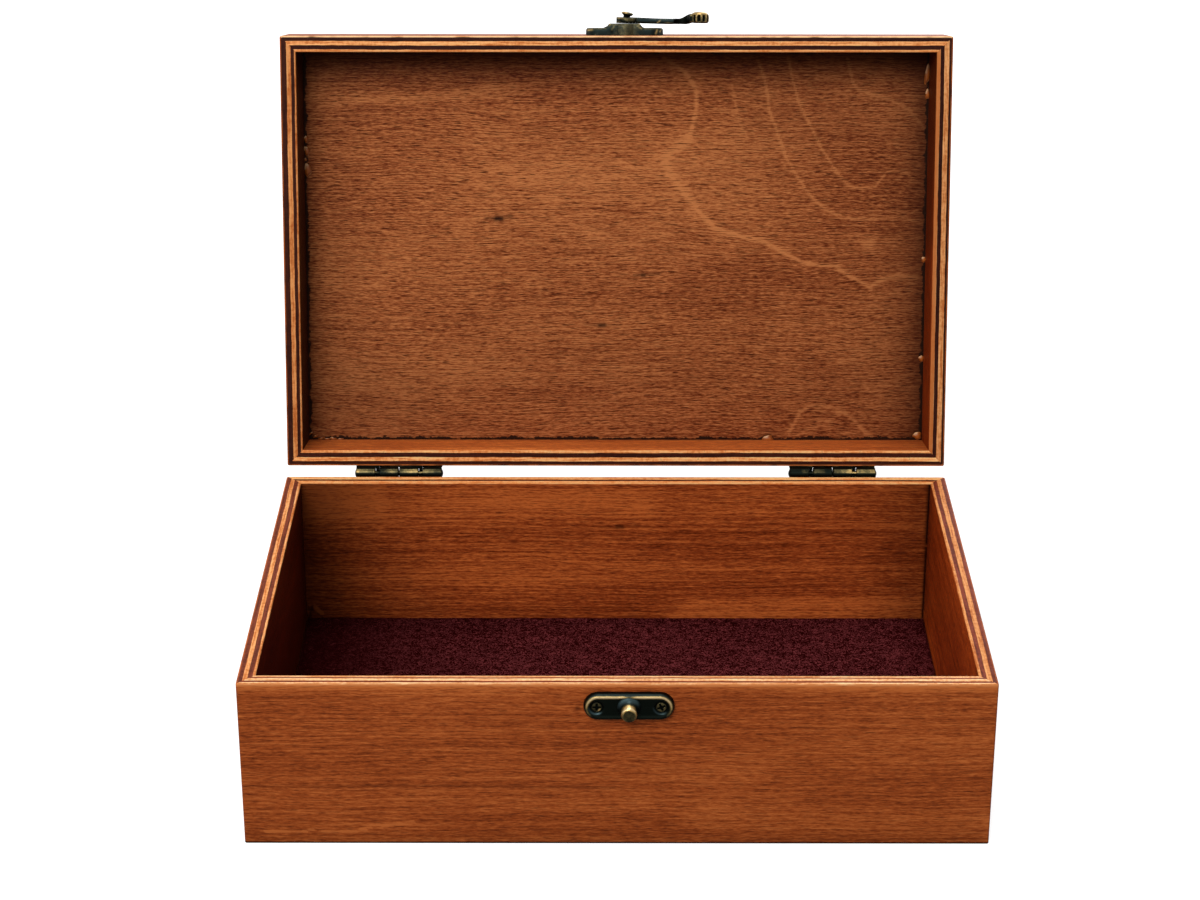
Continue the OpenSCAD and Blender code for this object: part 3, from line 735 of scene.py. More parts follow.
class KEEPSAKE_OT_boards(bpy.types.Operator):
    """Make the eight mitred plywood boards of the box and the lid"""

    bl_idname = "keepsake.boards"
    bl_label = "Boards"

    # name, quarter turns from the front, ply edges in mm, seed, whether its veneer is dark; the
    # tints of its light plies, its dark plies and its inner face, which also paint light and shade
    # by how each side faces the lamps, and how dark its innermost ply is; the strength and reach in
    # mm of the painted shade in its two inner corners, partly stain gathered at its ends
    SIDES = (
        # the front's rim tints paint a highlight on its plies
        ("box_front_wall", 0, (1.2, 2.3, 3.9, 4.6, 5.9), 0.11, False,
         (1.2, 1.55, 2.1), (1.9, 1.6, 1.3), (1.0,), 0.3, (0.5, 15, 0.5, 15)),
        ("box_right_wall", 1, (1.75, 1.751, 3.45, 5.0, 5.9), 0.73, True,
         (0.85, 0.78, 0.7), (1.35, 0.95, 0.6), (0.98, 0.6, 0.38), 0.0, (0.3, 12, 0.4, 12)),
        ("box_back_wall", 2, (0.0, 0.2, 2.7, 3.9, 5.9), 1.31, False,
         (1.2, 1.25, 1.3), (0.6,), (1.13, 0.95, 0.87), 0.3, (0.5, 22, 0.74, 34)),
        # the left wall's inner tint is painted shade
        ("box_left_wall", 3, (2.0, 2.001, 3.5, 5.1, 5.9), 1.97, True,
         (1.08, 1.08, 1.1), (1.35, 1.3, 1.1), (0.17, 0.06, 0.02), 0.0, (0.4, 12, 0.3, 12)),
        ("lid_front_rail", 0, (0.3, 1.95, 3.5, 5.05, 5.9), 2.41, False,
         (1.1,), (1.1, 1.0, 0.9), (0.8,), 0.3, (0.3, 9, 0.3, 9)),
        ("lid_right_rail", 1, (1.3, 1.301, 3.1, 4.5, 5.9), 3.07, True,
         (0.85,), (1.0, 0.8, 0.7), (0.85, 0.55, 0.36), 0.85, (0.72, 75, 0.2, 9)),
        # the back rail's inner tint, on a face turned up, is partly painted light
        ("lid_back_rail", 2, (1.8, 1.801, 3.3, 5.0, 5.9), 3.59, True,
         (1.2, 1.25, 1.3), (1.5, 1.2, 1.0), (2.1, 2.15, 2.0), 0.1, (0.3, 9, 0.3, 9)),
        # the left rail's inner tint is painted shade
        ("lid_left_rail", 3, (2.45, 2.451, 4.1, 5.35, 5.9), 4.13, True,
         (0.78, 0.68, 0.58), (1.25, 1.05, 0.9), (0.12, 0.1, 0.09), 0.0, (0.3, 9, 0.3, 9)),
    )
    # on a board's face, in mm along it and up it: pale strokes and dark strokes, as in the panel.
    # The front's pale band along the top of its outer face is a painted highlight. On the back
    # wall's inner face the broad pale bands are painted light, along its top and low down towards
    # the right wall, and the broad dark bands are painted shade along its foot and low down near
    # the left wall.
    MARKS = {
        "box_front_wall": (
            ((((-118, 4.7), (-109.5, 4.9)), 0.34, 1.2), (((-109.5, 4.7), (-105, 4.4)), 0.3, 0.5),
             (((-105, 4.5), (-101.4, 5.8)), 0.34, 1.2), (((-99, 4.4), (-94, 4.9)), 0.34, 1.1),
             (((-92.6, 4.7), (-87, 4.9), (-82.7, 6.0)), 0.34, 1.2),
             (((-82.7, 6.6), (-76, 7.2), (-68, 8.6)), 0.4, 0.6),
             # a painted highlight along the top of the outer face comes first
             (((-125, 60.5), (125, 60.5)), 2.2, 0.45), (((30, 11), (125, 9)), 9.0, 0.25),
             (((-60, 24), (40, 26)), 12.0, 0.12)),
            ((((-125, 22), (-60, 22.3), (0, 21.8)), 0.45, 0.35),
             (((-13, 52.2), (-12.8, 52.2)), 0.6, 0.9))),
        "box_back_wall": (
            # broad pale bands of painted light
            ((((-10, 53), (90, 54)), 9.0, 0.3), (((-119, 53), (-10, 53)), 9.0, 0.08),
             (((92, 53), (119, 54)), 10.0, 0.5), (((-119, 24), (119, 22)), 6.0, 0.12),
             (((-116, 7), (-30, 6)), 9.0, 0.32), (((116.5, 9), (113.5, 5.6)), 0.6, 1.3)),
            ((((-2.6, 42.7), (-0.4, 42.7)), 0.9, 0.8), (((-8, 42.9), (6, 42.5)), 0.5, 0.4),
             # a band of painted shade along the foot, then the dark joint at the corner by the
             # right wall; on the next line, painted shade low down near the left wall
             (((-119, 3), (119, 3)), 4.0, 0.15), (((-118.6, 4), (-118.6, 34)), 0.7, 1.0),
             (((-118.6, 36), (-118.6, 61)), 0.9, 1.0), (((70, 5), (118, 5)), 8.0, 0.18),
             (((118.4, 3), (116.8, 9)), 0.7, 0.9),
             (((117.5, 7), (113.5, 4.5), (112, 2)), 0.4, 0.8))),
    }
    MARKED_PITCH = 1.3  # spacing of a marked board's points, over the lid panel's
    PLAIN_PITCH = 8 * MM
    FACE_DEPTH = 3  # mm: points deeper than this are on the inner face
    # painted shade at the foot of a board: strength and reach in mm of its haze, strength and
    # height in mm of the painted contact shadow along the line where the box stands on the floor
    HAZE, CONTACT = (0.22, 4.0), (0.78, 0.55)

    def colours(self, look, name, veneer, pale, deep, low):
        """The look of one board's rim."""
        lid, light, own = name.startswith("lid"), look["stain_light"], dict(look)
        own.update({key: scaled_colour(look[key], *pale)
                    for key in ("light_ply", "light_low", "light_high")})
        # the arris's colour: a painted highlight on the lid's front rail and on the pale boards
        # such as the box's front, rubbed wear on the others
        own["arris"] = (scaled_colour(look["light_high"], 1.25, 1.25, 1.6)
                        if name == "lid_front_rail" else scaled_colour(light, *pale))
        own["dark_ply"] = scaled_colour(look["lid_ply" if lid else "dark_ply"], *deep)
        own["dark_low"] = scaled_colour(own["dark_ply"], 0.5)
        own["inner_low"], own["dark_veneer"] = low, veneer
        return own

    def soak(self, length, mm, ends, lid):
        """The painted shade in a board's inner corners, partly stain gathered at its inner ends,
        strength * exp(-(gap / reach)^2), and the painted shade at the foot of its outer face."""
        along, up, depth = mm
        gap = ((length / 2 - WALL) / MM - np.abs(along)).clip(0, None)
        strength, reach = (np.where(along < 0, first, last)
                           for first, last in zip(ends[:2], ends[2:]))
        foot = self.HAZE[0] * np.exp(-up / self.HAZE[1])
        foot = foot + (0 if lid else self.CONTACT[0]) * (up < self.CONTACT[1])
        return np.where(depth > self.FACE_DEPTH, strength * np.exp(-(gap / reach) ** 2), foot)

    def execute(self, context):
        look, wood = shades(), settings("wood")
        outer, inner = ([look[key + suffix] for suffix in ("_dark", "", "_light")]
                        for key in ("stain", "inner"))
        for name, side, edges_mm, seed, veneer, pale, deep, tint, low, ends in self.SIDES:
            lid = name.startswith("lid")
            edges = [edge * MM for edge in edges_mm]
            turn = math.radians(90 * side)
            outward = np.array([math.sin(turn), -math.cos(turn), 0])
            along = (math.cos(turn), math.sin(turn), 0)
            length, span = (BODY_W, BODY_D / 2) if side % 2 == 0 else (BODY_D, BODY_W / 2)
            marks = self.MARKS.get(name, ((), ()))
            points, faces, layers = board(
                length, LID_H if lid else BODY_H, wood, edges, along, (0, 0, -1 if lid else 1),
                outward, outward * span + (0, 0, LID_TOP if lid else 0),
                wood.figure_pitch * self.MARKED_PITCH if any(marks) else self.PLAIN_PITCH)
            mm = layers["board"].T / MM
            layers["soak"] = self.soak(length, mm, ends, lid)
            marked = (mm[2] > self.FACE_DEPTH) == (side == 2)
            for key, lines in zip(("figure", "knot"), marks):
                layers[key] = strokes(mm[:2].T, lines) * marked
            finish = board_finish(
                name + "_plywood", self.colours(look, name, veneer, pale, deep, low), edges, seed,
                outer, [scaled_colour(colour, *tint) for colour in inner])
            piece = make_piece(name + "_board", opened(points) if lid else points, faces, finish,
                               "lid" if lid else "box", layers)
            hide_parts(name)
        return {"FINISHED"}


# ---- panels ----


def strokes(points, lines):
    """For points in a plane, the strength of the nearest of several soft lines: each is a list of
    corners, a half width and a strength, and its strength falls as exp(-(distance / width)^2)."""
    best = np.zeros(points.shape[:-1])
    for corners, width, strength in lines:
        corners = np.array(corners, float)
        start, run = corners[:-1], np.diff(corners, axis=0)
        rel = points[..., None, :] - start
        share = ((rel * run).sum(-1) / (run * run).sum(-1)).clip(0, 1)
        gap = np.linalg.norm(rel - share[..., None] * run, axis=-1).min(-1)
        best = np.maximum(best, strength * np.exp(-(gap / width) ** 2))
    return best


class KEEPSAKE_OT_panels(bpy.types.Operator):
    """Make the lid's figured panel"""

    bl_idname = "keepsake.panels"
    bl_label = "Panels"

    # corners in mm on the panel's inner face, from its middle: right, and towards the lid's front
    VEINS = (
        (((18, 72), (26, 67), (29, 63), (30.7, 58.6), (30.4, 52.4), (28.7, 44.5), (27, 40.5),
          (20.3, 36), (19, 33), (20.3, 28.6), (25, 22.5), (30, 16.3), (34, 11.3), (39, 7),
          (47, 4.4), (55, 3), (62, -0.5), (71.6, -5.9), (84.5, -7.3), (90.4, -11.2), (98, -15.2),
          (103, -12.2), (109, -10.8), (116, -11.2)), 0.75, 0.56),
        (((27.5, 41), (20.3, 36), (19, 33), (20.3, 28.6), (30, 16.3)), 2.0, 0.4),
        (((53.4, 72.6), (56.3, 64.7), (57.7, 58), (58.3, 52.4), (61.6, 44), (65, 34.3),
          (69.8, 26.4), (75.6, 18.5), (81.3, 14), (90.5, 11), (100.7, 11), (111, 11.6),
          (118, 8.8)), 0.5, 0.42),
        (((65.3, 72.6), (67, 64.7), (69.4, 55.8), (74, 46.8), (78.7, 37.7), (84.5, 28.7),
          (88.6, 24), (93.7, 22.5), (99.4, 23.6), (103.3, 28.7), (106, 29.8), (110.7, 28.7),
          (115.3, 25.3)), 0.45, 0.4),
        (((87.8, 72), (89, 67), (90.2, 62.5), (92, 60.3), (97.6, 58.6), (105.6, 55.8),
          (111.3, 53), (114.8, 49), (117.7, 45.7)), 0.5, 0.5),
        (((-108.5, 56.2), (-86, 57), (-63, 57.7), (-39.6, 60.8)), 2.2, 0.24),
        (((67.6, -72), (71.5, -64), (75.4, -61.5), (83.3, -62.4), (90.3, -65), (95.3, -70),
          (99.3, -74)), 0.9, 0.5),
        (((70, -74), (80, -68), (90, -72)), 4.0, 0.2),
        (((96.6, 1.1), (97.6, 1.1)), 2.0, 0.45),
        (((44, 62), (47, 48), (50, 42)), 0.6, 0.2), (((108, 44), (112, 38)), 10.0, 0.14),
        (((5, -60), (75, -60)), 18.0, 0.13), (((-112, 40), (-108, 30)), 14.0, 0.12),
        # a broad band of painted light across the middle of the panel
        (((-50, 22), (10, 14)), 26.0, 0.1),
        (((70, -45), (95, -50)), 22.0, 0.1),
    )
    KNOTS = (
        (((-46.0, 11), (-43.8, 11)), 1.15, 1.0),
        (((-50, 11), (-42, 11.4)), 0.6, 0.6),
        (((-41.2, 11.9), (-40.2, 12)), 0.9, 0.6),
        (((10.0, -10.7), (11.0, -10.7)), 0.8, 0.95),
        (((7, -10.8), (17, -10.1)), 0.55, 0.55),
        (((-6.4, -30.2), (-4.2, -30.2)), 0.75, 0.95),
        (((-12, -30.1), (2, -30)), 0.45, 0.4),
        (((-114, -62), (-86, -66)), 20.0, 0.2),
        (((60, 50), (78, 46)), 18.0, 0.1),
        # a painted shadow under the run of glue beads, and on the next two lines rings of painted
        # shadow round two beads
        (((-119, -72.4), (-116.6, -74.2), (-112.4, -75.3), (-105.5, -75.6)), 0.5, 0.8),
        (((117.4, -73.2), (117.5, -73.2)), 2.3, 0.9),
        (((59.2, -74.8), (59.4, -74.8)), 2.6, 0.8),
    )

    # the painted shade along each edge, where the rails shade the panel, partly stain gathered
    # there, whose direction comes first: the strength, the reach in mm and the power of a dense
    # part and of a broad part
    EDGE_SHADES = (
        ((1, 0), (0.72, 10, 1.3), (0.14, 40, 2)),
        ((-1, 0), (0.60, 1.5, 1), (0.14, 20, 2)),
        ((0, 1), (0.86, 7.5, 1.3), (0.16, 30, 2)),
        ((0, -1), (0.65, 0.6, 1), (0.18, 40, 2)),
    )

    def edge_shade(self, plane, inside):
        """How dark the painted shade along the edges is, partly stain gathered there: each edge
        leaves clear 1 less the sum of its parts, a part being strength * exp(-(gap / reach)^power)."""
        clear = 1.0
        for towards, *parts in self.EDGE_SHADES:
            gap = (np.abs(towards) @ inside - plane @ np.array(towards)).clip(0, None)
            clear = clear * (1 - sum(strength * np.exp(-(gap / reach) ** power)
                                     for strength, reach, power in parts))
        return (1 - clear).clip(0, 1)

    def execute(self, context):
        low, high = PANEL_LOW, PANEL_HIGH
        x, y = even_grid(low, high, settings("wood").figure_pitch)
        inner = np.stack([x, y, np.full_like(x, low[2])], -1).reshape(-1, 3)
        edge, faces = closed_grid(*x.shape, up=False)
        points = np.concatenate([inner, inner[edge] + (0, 0, high[2] - low[2])])
        outside = (np.arange(len(points)) >= len(inner)) * 1.0
        plane = points[:, :2] * (1, -1) / MM
        inside = np.array([BODY_W, BODY_D]) / (2 * MM) - WALL / MM
        layers = {
            "board": points - (0, 0, low[2]),
            "figure": strokes(plane, self.VEINS) * (1 - outside),
            "knot": strokes(plane, self.KNOTS) * (1 - outside),
            # the stain attribute holds the painted shade along the edges
            "stain": self.edge_shade(plane, inside),
            "gap": (inside - np.abs(plane)).clip(0, None).min(1),
            "outside": outside,
        }
        finish = panel_finish("lid_panel_plywood", shades(), 0.29)
        piece = make_piece("lid_panel_sheet", opened(points), faces, finish,
                           "lid", layers)
        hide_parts("lid_top_panel")
        return {"FINISHED"}


class KEEPSAKE_OT_bottom(bpy.types.Operator):
    """Make the box's bottom panel"""

    bl_idname = "keepsake.bottom"
    bl_label = "Bottom"

    ARRIS = 0.3 * MM
    INSET = 2 * MM  # from the arris to the faces' own ring
    NO_GAP = 9.0  # mm from any crack

    def execute(self, context):
        low, high = (np.array(corner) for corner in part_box("box_bottom_panel"))
        arris, thick = self.ARRIS, high[2] - low[2]
        profile = np.array([[arris + self.INSET, 0], [arris, 0], [0, arris], [0, thick - arris],
                            [arris, thick], [arris + self.INSET, thick]])
        corners = np.array([[-1, -1], [1, -1], [1, 1], [-1, 1]])
        half, middle = (high - low) / 2, (high + low) / 2
        points = np.concatenate([
            np.column_stack([corners * (half[:2] - inset) + middle[:2],
                             np.full(4, low[2] + lift)]) for inset, lift in profile])
        count = len(profile)
        inner_face = np.repeat(np.arange(count) >= count - 2, 4) * 1.0
        # the inner face, under the felt, takes the dark colour of the painted shade in full
        layers = {"board": points, "figure": 0.0, "knot": 0.0, "stain": inner_face,
                  "gap": self.NO_GAP, "outside": 1 - inner_face}
        finish = panel_finish("bottom_panel_plywood", shades(), 2.17)
        piece = make_piece("box_bottom_sheet", points, capped(count, 4), finish,
                           "box", layers)
        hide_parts("box_bottom_panel")
        return {"FINISHED"}


# ---- felt ----


def smooth_noise(shape, cells, seed):
    """Random heights on a coarse grid, drawn out to a shape by cubic steps between them."""
    coarse = np.random.default_rng(seed).random((cells[0] + 2, cells[1] + 2))
    rows = np.linspace(0, cells[0], shape[0])
    columns = np.linspace(0, cells[1], shape[1])
    r0, c0 = rows.astype(int), columns.astype(int)
    fr, fc = (t * t * (3 - 2 * t) for t in (rows - r0, columns - c0))
    fr, fc = fr[:, None], fc[None, :]
    upper = coarse[r0][:, c0] * (1 - fc) + coarse[r0][:, c0 + 1] * fc
    lower = coarse[r0 + 1][:, c0] * (1 - fc) + coarse[r0 + 1][:, c0 + 1] * fc
    return upper * (1 - fr) + lower * fr - 0.5


class KEEPSAKE_OT_felt(bpy.types.Operator):
    """Lay the felt, with its loose fibres, on the bottom panel"""

    bl_idname = "keepsake.felt"
    bl_label = "Felt"

    # the shade inside the box: strength, reach in mm and power, at the left end and at the right
    SHADE = ((0.9, 50, 1.6), (0.5, 9, 1))

    SUNK = 0.1 * MM  # the middle of the felt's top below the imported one, to leave room for relief
    # the relief's parts: the points of the sheet to one of its own, its weight and its seed
    RELIEF = ((3, 1.0, 5), (8, 0.7, 6))
    FINE_RELIEF = (0.5, 7)

    def top(self, x, y, low, high, nap):
        """The height of the felt's top: smooth noise times the nap, less a droop at its edges of
        0.35 mm * exp(-(gap / 0.5 mm)^2)."""
        rows, columns = x.shape
        relief = sum(weight * smooth_noise(x.shape, (rows // step, columns // step), seed)
                     for step, weight, seed in self.RELIEF)
        weight, seed = self.FINE_RELIEF
        relief = relief + weight * smooth_noise(x.shape, (rows - 1, columns - 1), seed)
        gap = np.minimum.reduce([x - low[0], high[0] - x, y - low[1], high[1] - y])
        return high[2] - self.SUNK + nap * relief - 0.35 * MM * np.exp(-(gap / (0.5 * MM)) ** 2)

    def execute(self, context):
        look, felt = shades(), settings("felt")
        low, high = np.array(FELT_LOW), np.array(FELT_HIGH)
        x, y = even_grid(low, high, felt.pitch)
        upper = np.stack([x, y, self.top(x, y, low, high, felt.nap)], -1).reshape(-1, 3)
        edge, faces = closed_grid(*x.shape, up=True)
        points = np.concatenate([upper, upper[edge] * (1, 1, 0) + (0, 0, low[2])])
        gaps = (points[:, 0] - low[0]) / MM, (high[0] - points[:, 0]) / MM
        # painted shade cast by the left and right walls
        soak = np.maximum(*(strength * np.exp(-(gap / reach) ** power)
                            for gap, (strength, reach, power) in zip(gaps, self.SHADE)))
        sheet = make_piece("felt_sheet", points, faces, felt_finish(look), "box",
                           {"soak": soak}, sharp=60)
        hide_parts("felt_liner")
        nap = self.nap(felt, look, low, high)
        return {"FINISHED"}

    def nap(self, felt, look, low, high):
        """Loose fibres: each a ribbon along a low arch, whose plan is a bent line and whose height
        is a half sine, with its own place, heading, bend and length."""
        rng = np.random.default_rng(11)
        count, steps = felt.fibres, 5
        length = felt.fibre * rng.uniform(0.5, 1.5, count)
        heading = rng.uniform(0, 2 * math.pi, count)
        bend = rng.normal(0, 1.1, count)
        margin = 1.2 * felt.fibre
        start_x = rng.uniform(low[0] + margin, high[0] - margin, count)
        start_y = rng.uniform(low[1] + margin, high[1] - margin, count)
        lift = rng.uniform(0.1, 0.5, count) * MM
        t = np.linspace(-0.5, 0.5, steps)[None, :]
        angle = heading[:, None] + bend[:, None] * t
        step = length[:, None] / (steps - 1)
        x = start_x[:, None] + np.cumsum(np.cos(angle) * step, 1)
        y = start_y[:, None] + np.cumsum(np.sin(angle) * step, 1)
        z = high[2] - 0.15 * MM + lift[:, None] * np.sin(math.pi * (t + 0.5))
        half = 0.045 * MM * (1 - 1.2 * np.abs(t))
        centre = np.stack([x, y, z], -1)
        side = np.stack([-np.sin(angle) * half, np.cos(angle) * half, np.zeros_like(x)], -1)
        ridge = centre + np.array([0, 0, 0.05 * MM])
        ring = np.stack([centre - side, ridge, centre + side], 2)
        points = ring.reshape(-1, 3)
        base = (np.arange(count) * steps * 3)[:, None, None, None]
        row = (np.arange(steps - 1) * 3)[None, :, None, None]
        around = np.arange(3)[None, None, :, None]
        following = (around + 1) % 3
        quads = np.concatenate([base + row + around, base + row + 3 + around,
                                base + row + 3 + following, base + row + following], -1)
        first = (np.arange(count) * steps * 3)[:, None]
        last = first + (steps - 1) * 3
        caps = np.concatenate([first + np.array([[0, 1, 2]]), last + np.array([[2, 1, 0]])])
        return make_piece("felt_nap", points, [quads.reshape(-1, 4), caps], fibre_finish(look),
                          "box")


# ---- fittings ----

BEND_STEPS, RUN_STEPS, FIELD_STEPS = 61, 90, 33  # points round a plate's end, along it and inwards


def smooth(value, low, high):
    """A smooth rise from 0 at low to 1 at high: 3 t^2 - 2 t^3 of the share of the way."""
    t = ((value - low) / (high - low)).clip(0, 1)
    return t * t * (3 - 2 * t)


def bump_of(value, middle, width):
    """A soft bump, exp(-((value - middle) / width)^2)."""
    return np.exp(-((value - middle) / width) ** 2)


def on_front(at, x, y, z):
    """Points from x to the right, y up and z outwards in mm, round a point on the front's face."""
    return np.stack(np.broadcast_arrays(
        at[0] + x * MM, FRONT_LOW.y - z * MM, at[2] + y * MM), -1).reshape(-1, 3)


def skin(at, x, y, z, rub=0.0, shine=0.0, grime=0.0):
    """Points, faces and layers of a surface whose rows are closed rings, capped at both ends."""
    layers = {key: np.broadcast_to(value, x.shape).ravel()
              for key, value in (("rub", rub), ("shine", shine), ("grime", grime))}
    return on_front(at, x, y, z), capped(*x.shape), layers


def tipped(x, y, z, degrees, lift):
    """Points turned about y, from z towards x, and then lifted."""
    a = math.radians(degrees)
    return x * math.cos(a) + z * math.sin(a), y, lift + z * math.cos(a) - x * math.sin(a)


def turned_ring(profile, steps):
    """A profile of radius and height carried round an axis: x = r cos a, y = r sin a, z = h."""
    profile = np.array(profile, float)
    a = np.linspace(0, 2 * math.pi, steps, endpoint=False)[None, :]
    radius, height = profile[:, :1], profile[:, 1:]
    return radius * np.cos(a), radius * np.sin(a), height + 0 * a, a


def rounded_plate(length, width, belly):
    """The ring of directions of a plate with round ends: for each of its columns, the centre that
    it is drawn in to, its direction, and its reach, which swells to a round belly in the middle."""
    reach, half = width / 2, (length - width) / 2
    bend = np.radians(np.linspace(-90, 90, BEND_STEPS))
    run = np.linspace(-half, half, RUN_STEPS + 2)[1:-1]
    centre = np.concatenate([np.full_like(bend, half), run[::-1], np.full_like(bend, -half), run])
    angle = np.concatenate([bend, np.full_like(run, math.pi / 2), bend + math.pi,
                            np.full_like(run, -math.pi / 2)])
    swell = np.sqrt((belly ** 2 - centre ** 2).clip(0, None))
    return centre, np.cos(angle), np.sin(angle), np.maximum(reach, swell)


def plate(length, width, belly, rim, field):
    """Rows of a plate's surface from its foot to its middle: at an inset i from the outline, a
    point is its centre plus (reach - i) times its direction, at the rim profile's height."""
    centre, dx, dy, reach = rounded_plate(length, width, belly)
    rim = np.array(rim, float)
    inner = np.linspace(rim[-1, 0], width / 2 - 0.05, FIELD_STEPS + 1)[1:]
    inset = np.concatenate([rim[:, 0], inner])[:, None]
    height = np.concatenate([rim[:, 1], np.full_like(inner, field)])[:, None]
    distance = reach[None] * (1 - inset / (width / 2))
    return centre + distance * dx, distance * dy, height + 0 * distance, inset, dy


class KEEPSAKE_OT_fittings(bpy.types.Operator):
    """Make the catch, the latch and their screws, and finish the hinges, in worn bronze"""

    bl_idname = "keepsake.fittings"
    bl_label = "Fittings"

    SCREWS = 10.6  # half the distance in mm between a plate's two screws
    DIMPLE = 2.5  # radius in mm of the dimple round a screw
    FLUTES = 10
    CATCH_SIZE, LATCH_SIZE = (29.998, 9.798), (28.998, 9.998)  # length and width in mm
    KNOB_AT, KNOB_STRETCH = 27.42, 1.06  # mm along the arm, and its length over its width
    ARM_LIFT, ARM_DROOP = 4.35, 1.0  # mm above the lid's front, and degrees
    RIVET_LIFT, RIVET_LEAN = 6.72, 11.0
    # brass patches on the near side of the latch plate: corners in mm along and up, half width,
    # and strength
    PATCHES = ((((-13.9, 1.9), (-12.2, 2.2)), 0.5, 0.5), (((11.6, 0.6), (12.2, 2.2)), 0.45, 0.55),
               (((13.2, 1.2), (13.6, 2.2)), 0.3, 0.4), (((-4.8, 2.2), (-3.9, 3.4)), 0.4, 0.3),
               (((-0.5, 3.9), (3.0, 3.8)), 0.4, 0.42), (((-11.0, 0.3), (-10.0, 0.5)), 0.3, 0.7),
               (((4.6, 3.6), (6.4, 2.6)), 0.35, 0.4))
    NICK = (((11.3, 0.3), (12.6, 1.4)), 0.22, 0.6)  # a bright nick in the arm, in the same way
    # the arm, in mm along it and across it: the radius of its eye, the radii of the notch for the
    # stud and of the hook round it, the notch's middle, and where the arm meets the knob
    EYE, NOTCH, HOOK, MIDDLE, END = 3.9, 3.05, 4.55, 20.5, 27.5

    def execute(self, context):
        look = shades()
        low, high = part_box("catch_plate")
        catch = (low + high) / 2
        pivot = closed([joint_named("latch_swing")["pos_m"]])[0]
        base = closed(node_points("latch_plate"))[:, 0]
        plate_at = np.array([(base.min() + base.max()) / 2, 0, pivot[2]])
        bronze, brass = worn_bronze("antique_bronze", look), worn_bronze("old_brass", look)
        head = self.screw_head
        for name, body, node, parts in (
                ("catch", "box", "catch_plate", [self.catch_plate(catch), self.stud(catch)]),
                ("catch_heads", "box", "catch_screws",
                 [head(catch, -1, 0.0, 1.85, 0.7), head(catch, 1, 0.4, 1.85, 0.95)]),
                ("latch_base", "lid", "latch_plate", [self.latch_plate(plate_at)]),
                ("latch_heads", "lid", "latch_screws",
                 [head(plate_at, -1, 0.2, 2.15, 0.8), head(plate_at, 1, 0.7, 2.15, 0.8)]),
                ("latch_hook", "latch_arm", "latch_arm", [self.bar(pivot), self.knob(pivot)]),
                ("latch_cap", "lid", "latch_rivet", [self.rivet(pivot)])):
            shiny = name.endswith(("heads", "cap"))
            points, faces, layers = joined(parts)
            piece = make_piece(name, points if body == "box" else opened(points), faces,
                               brass if shiny else bronze,
                               body, layers, sharp=60)
            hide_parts(node)
        hinge, pin = worn_hinge("hinge_bronze", look, 0.03), worn_hinge("pin_brass", look, 0.4)
        for name, node in frame["nodes"].items():
            if "hinge" in name:
                node.data.materials.clear()
                node.data.materials.append(hinge if name.endswith("leaf") else pin)
        return {"FINISHED"}

    def dimples(self, x, y, depth):
        """Round each screw: the dimple's depth, its grime, and the distance of the middle."""
        away = np.hypot(np.abs(x) - self.SCREWS, y)
        return (depth * smooth(away, self.DIMPLE + 0.15, self.DIMPLE - 0.5),
                0.85 * smooth(away, self.DIMPLE, self.DIMPLE - 0.4), away)

    def catch_plate(self, at):
        """A plate with a thick rounded shoulder, a sunk field and a dimple round each screw; the
        shoulder is rubbed bright at the top and round the ends, partly a painted highlight that
        fades towards the bottom, and a painted reflection of the sky lies along the top of its rim
        and on the lower side of each dimple."""
        rim = ((0, 0), (0.02, 0.5), (0.08, 1.0), (0.2, 1.45), (0.4, 1.85), (0.6, 2.08),
               (0.8, 2.22), (1.0, 2.29), (1.15, 2.3), (1.35, 2.26), (1.55, 2.16), (1.8, 2.04),
               (2.1, 1.98))
        x, y, z, inset, dy = plate(*self.CATCH_SIZE, 0, rim, 1.96)
        dimple, grime, away = self.dimples(x, y, 0.5)
        z = z - dimple * (inset > 0.7)
        # stronger on the top side: partly a painted highlight
        facing = 0.35 * smooth(dy, -1.02, -0.3) + 0.65 * smooth(dy, -0.3, 0.75)
        rub = bump_of(inset, 1.08, 0.4) * facing * 1.1
        rub = rub * (1 - 0.75 * bump_of(x, 0, 1.6) * (y > 0)) + 0.03
        # painted reflection of the sky on the rim's top and the dimples' lower sides
        shine = 0.3 * bump_of(inset, 0.42, 0.22) * smooth(dy, 0.5, 1.0)
        side = np.abs(x) - self.SCREWS
        lower = -y - 0.5 * side * np.sign(x)
        dip = bump_of(away, self.DIMPLE - 0.1, 0.35) * smooth(lower, 0.5, 2.2)
        shine = np.maximum(shine, dip * np.where(x < 0, 0.85, 0.4))
        return skin(at, x, y, z, rub, shine, np.maximum(grime, bump_of(inset, 0, 0.2) * 0.7))

    def stud(self, at):
        """A round stud on a flared foot, with a rounded rubbed edge and a flat dark end; its top
        side takes a painted highlight, the top of its flare a painted reflection of the sky, and
        the underside of its flare painted shade.
        """
        profile = ((4.0, 1.7), (3.95, 2.1), (3.6, 2.5), (3.2, 2.95), (2.95, 3.4), (2.8, 3.9),
                   (2.72, 4.5), (2.7, 5.1), (2.69, 5.7), (2.62, 6.15), (2.45, 6.5), (2.2, 6.72),
                   (1.95, 6.8), (1.7, 6.78), (1.2, 6.76), (0.6, 6.76), (0.05, 6.76))
        x, y, z, a = turned_ring(profile, 72)
        radius = np.hypot(x, y)
        y = y - 0.45 * smooth(z, 3.6, 6.0)
        up = np.sin(a - 0.15)
        edge = bump_of(z, 6.35, 0.55) * (radius > 1.85)
        shaft = bump_of(z, 5.6, 0.9) * smooth(up, 0.1, 0.85)
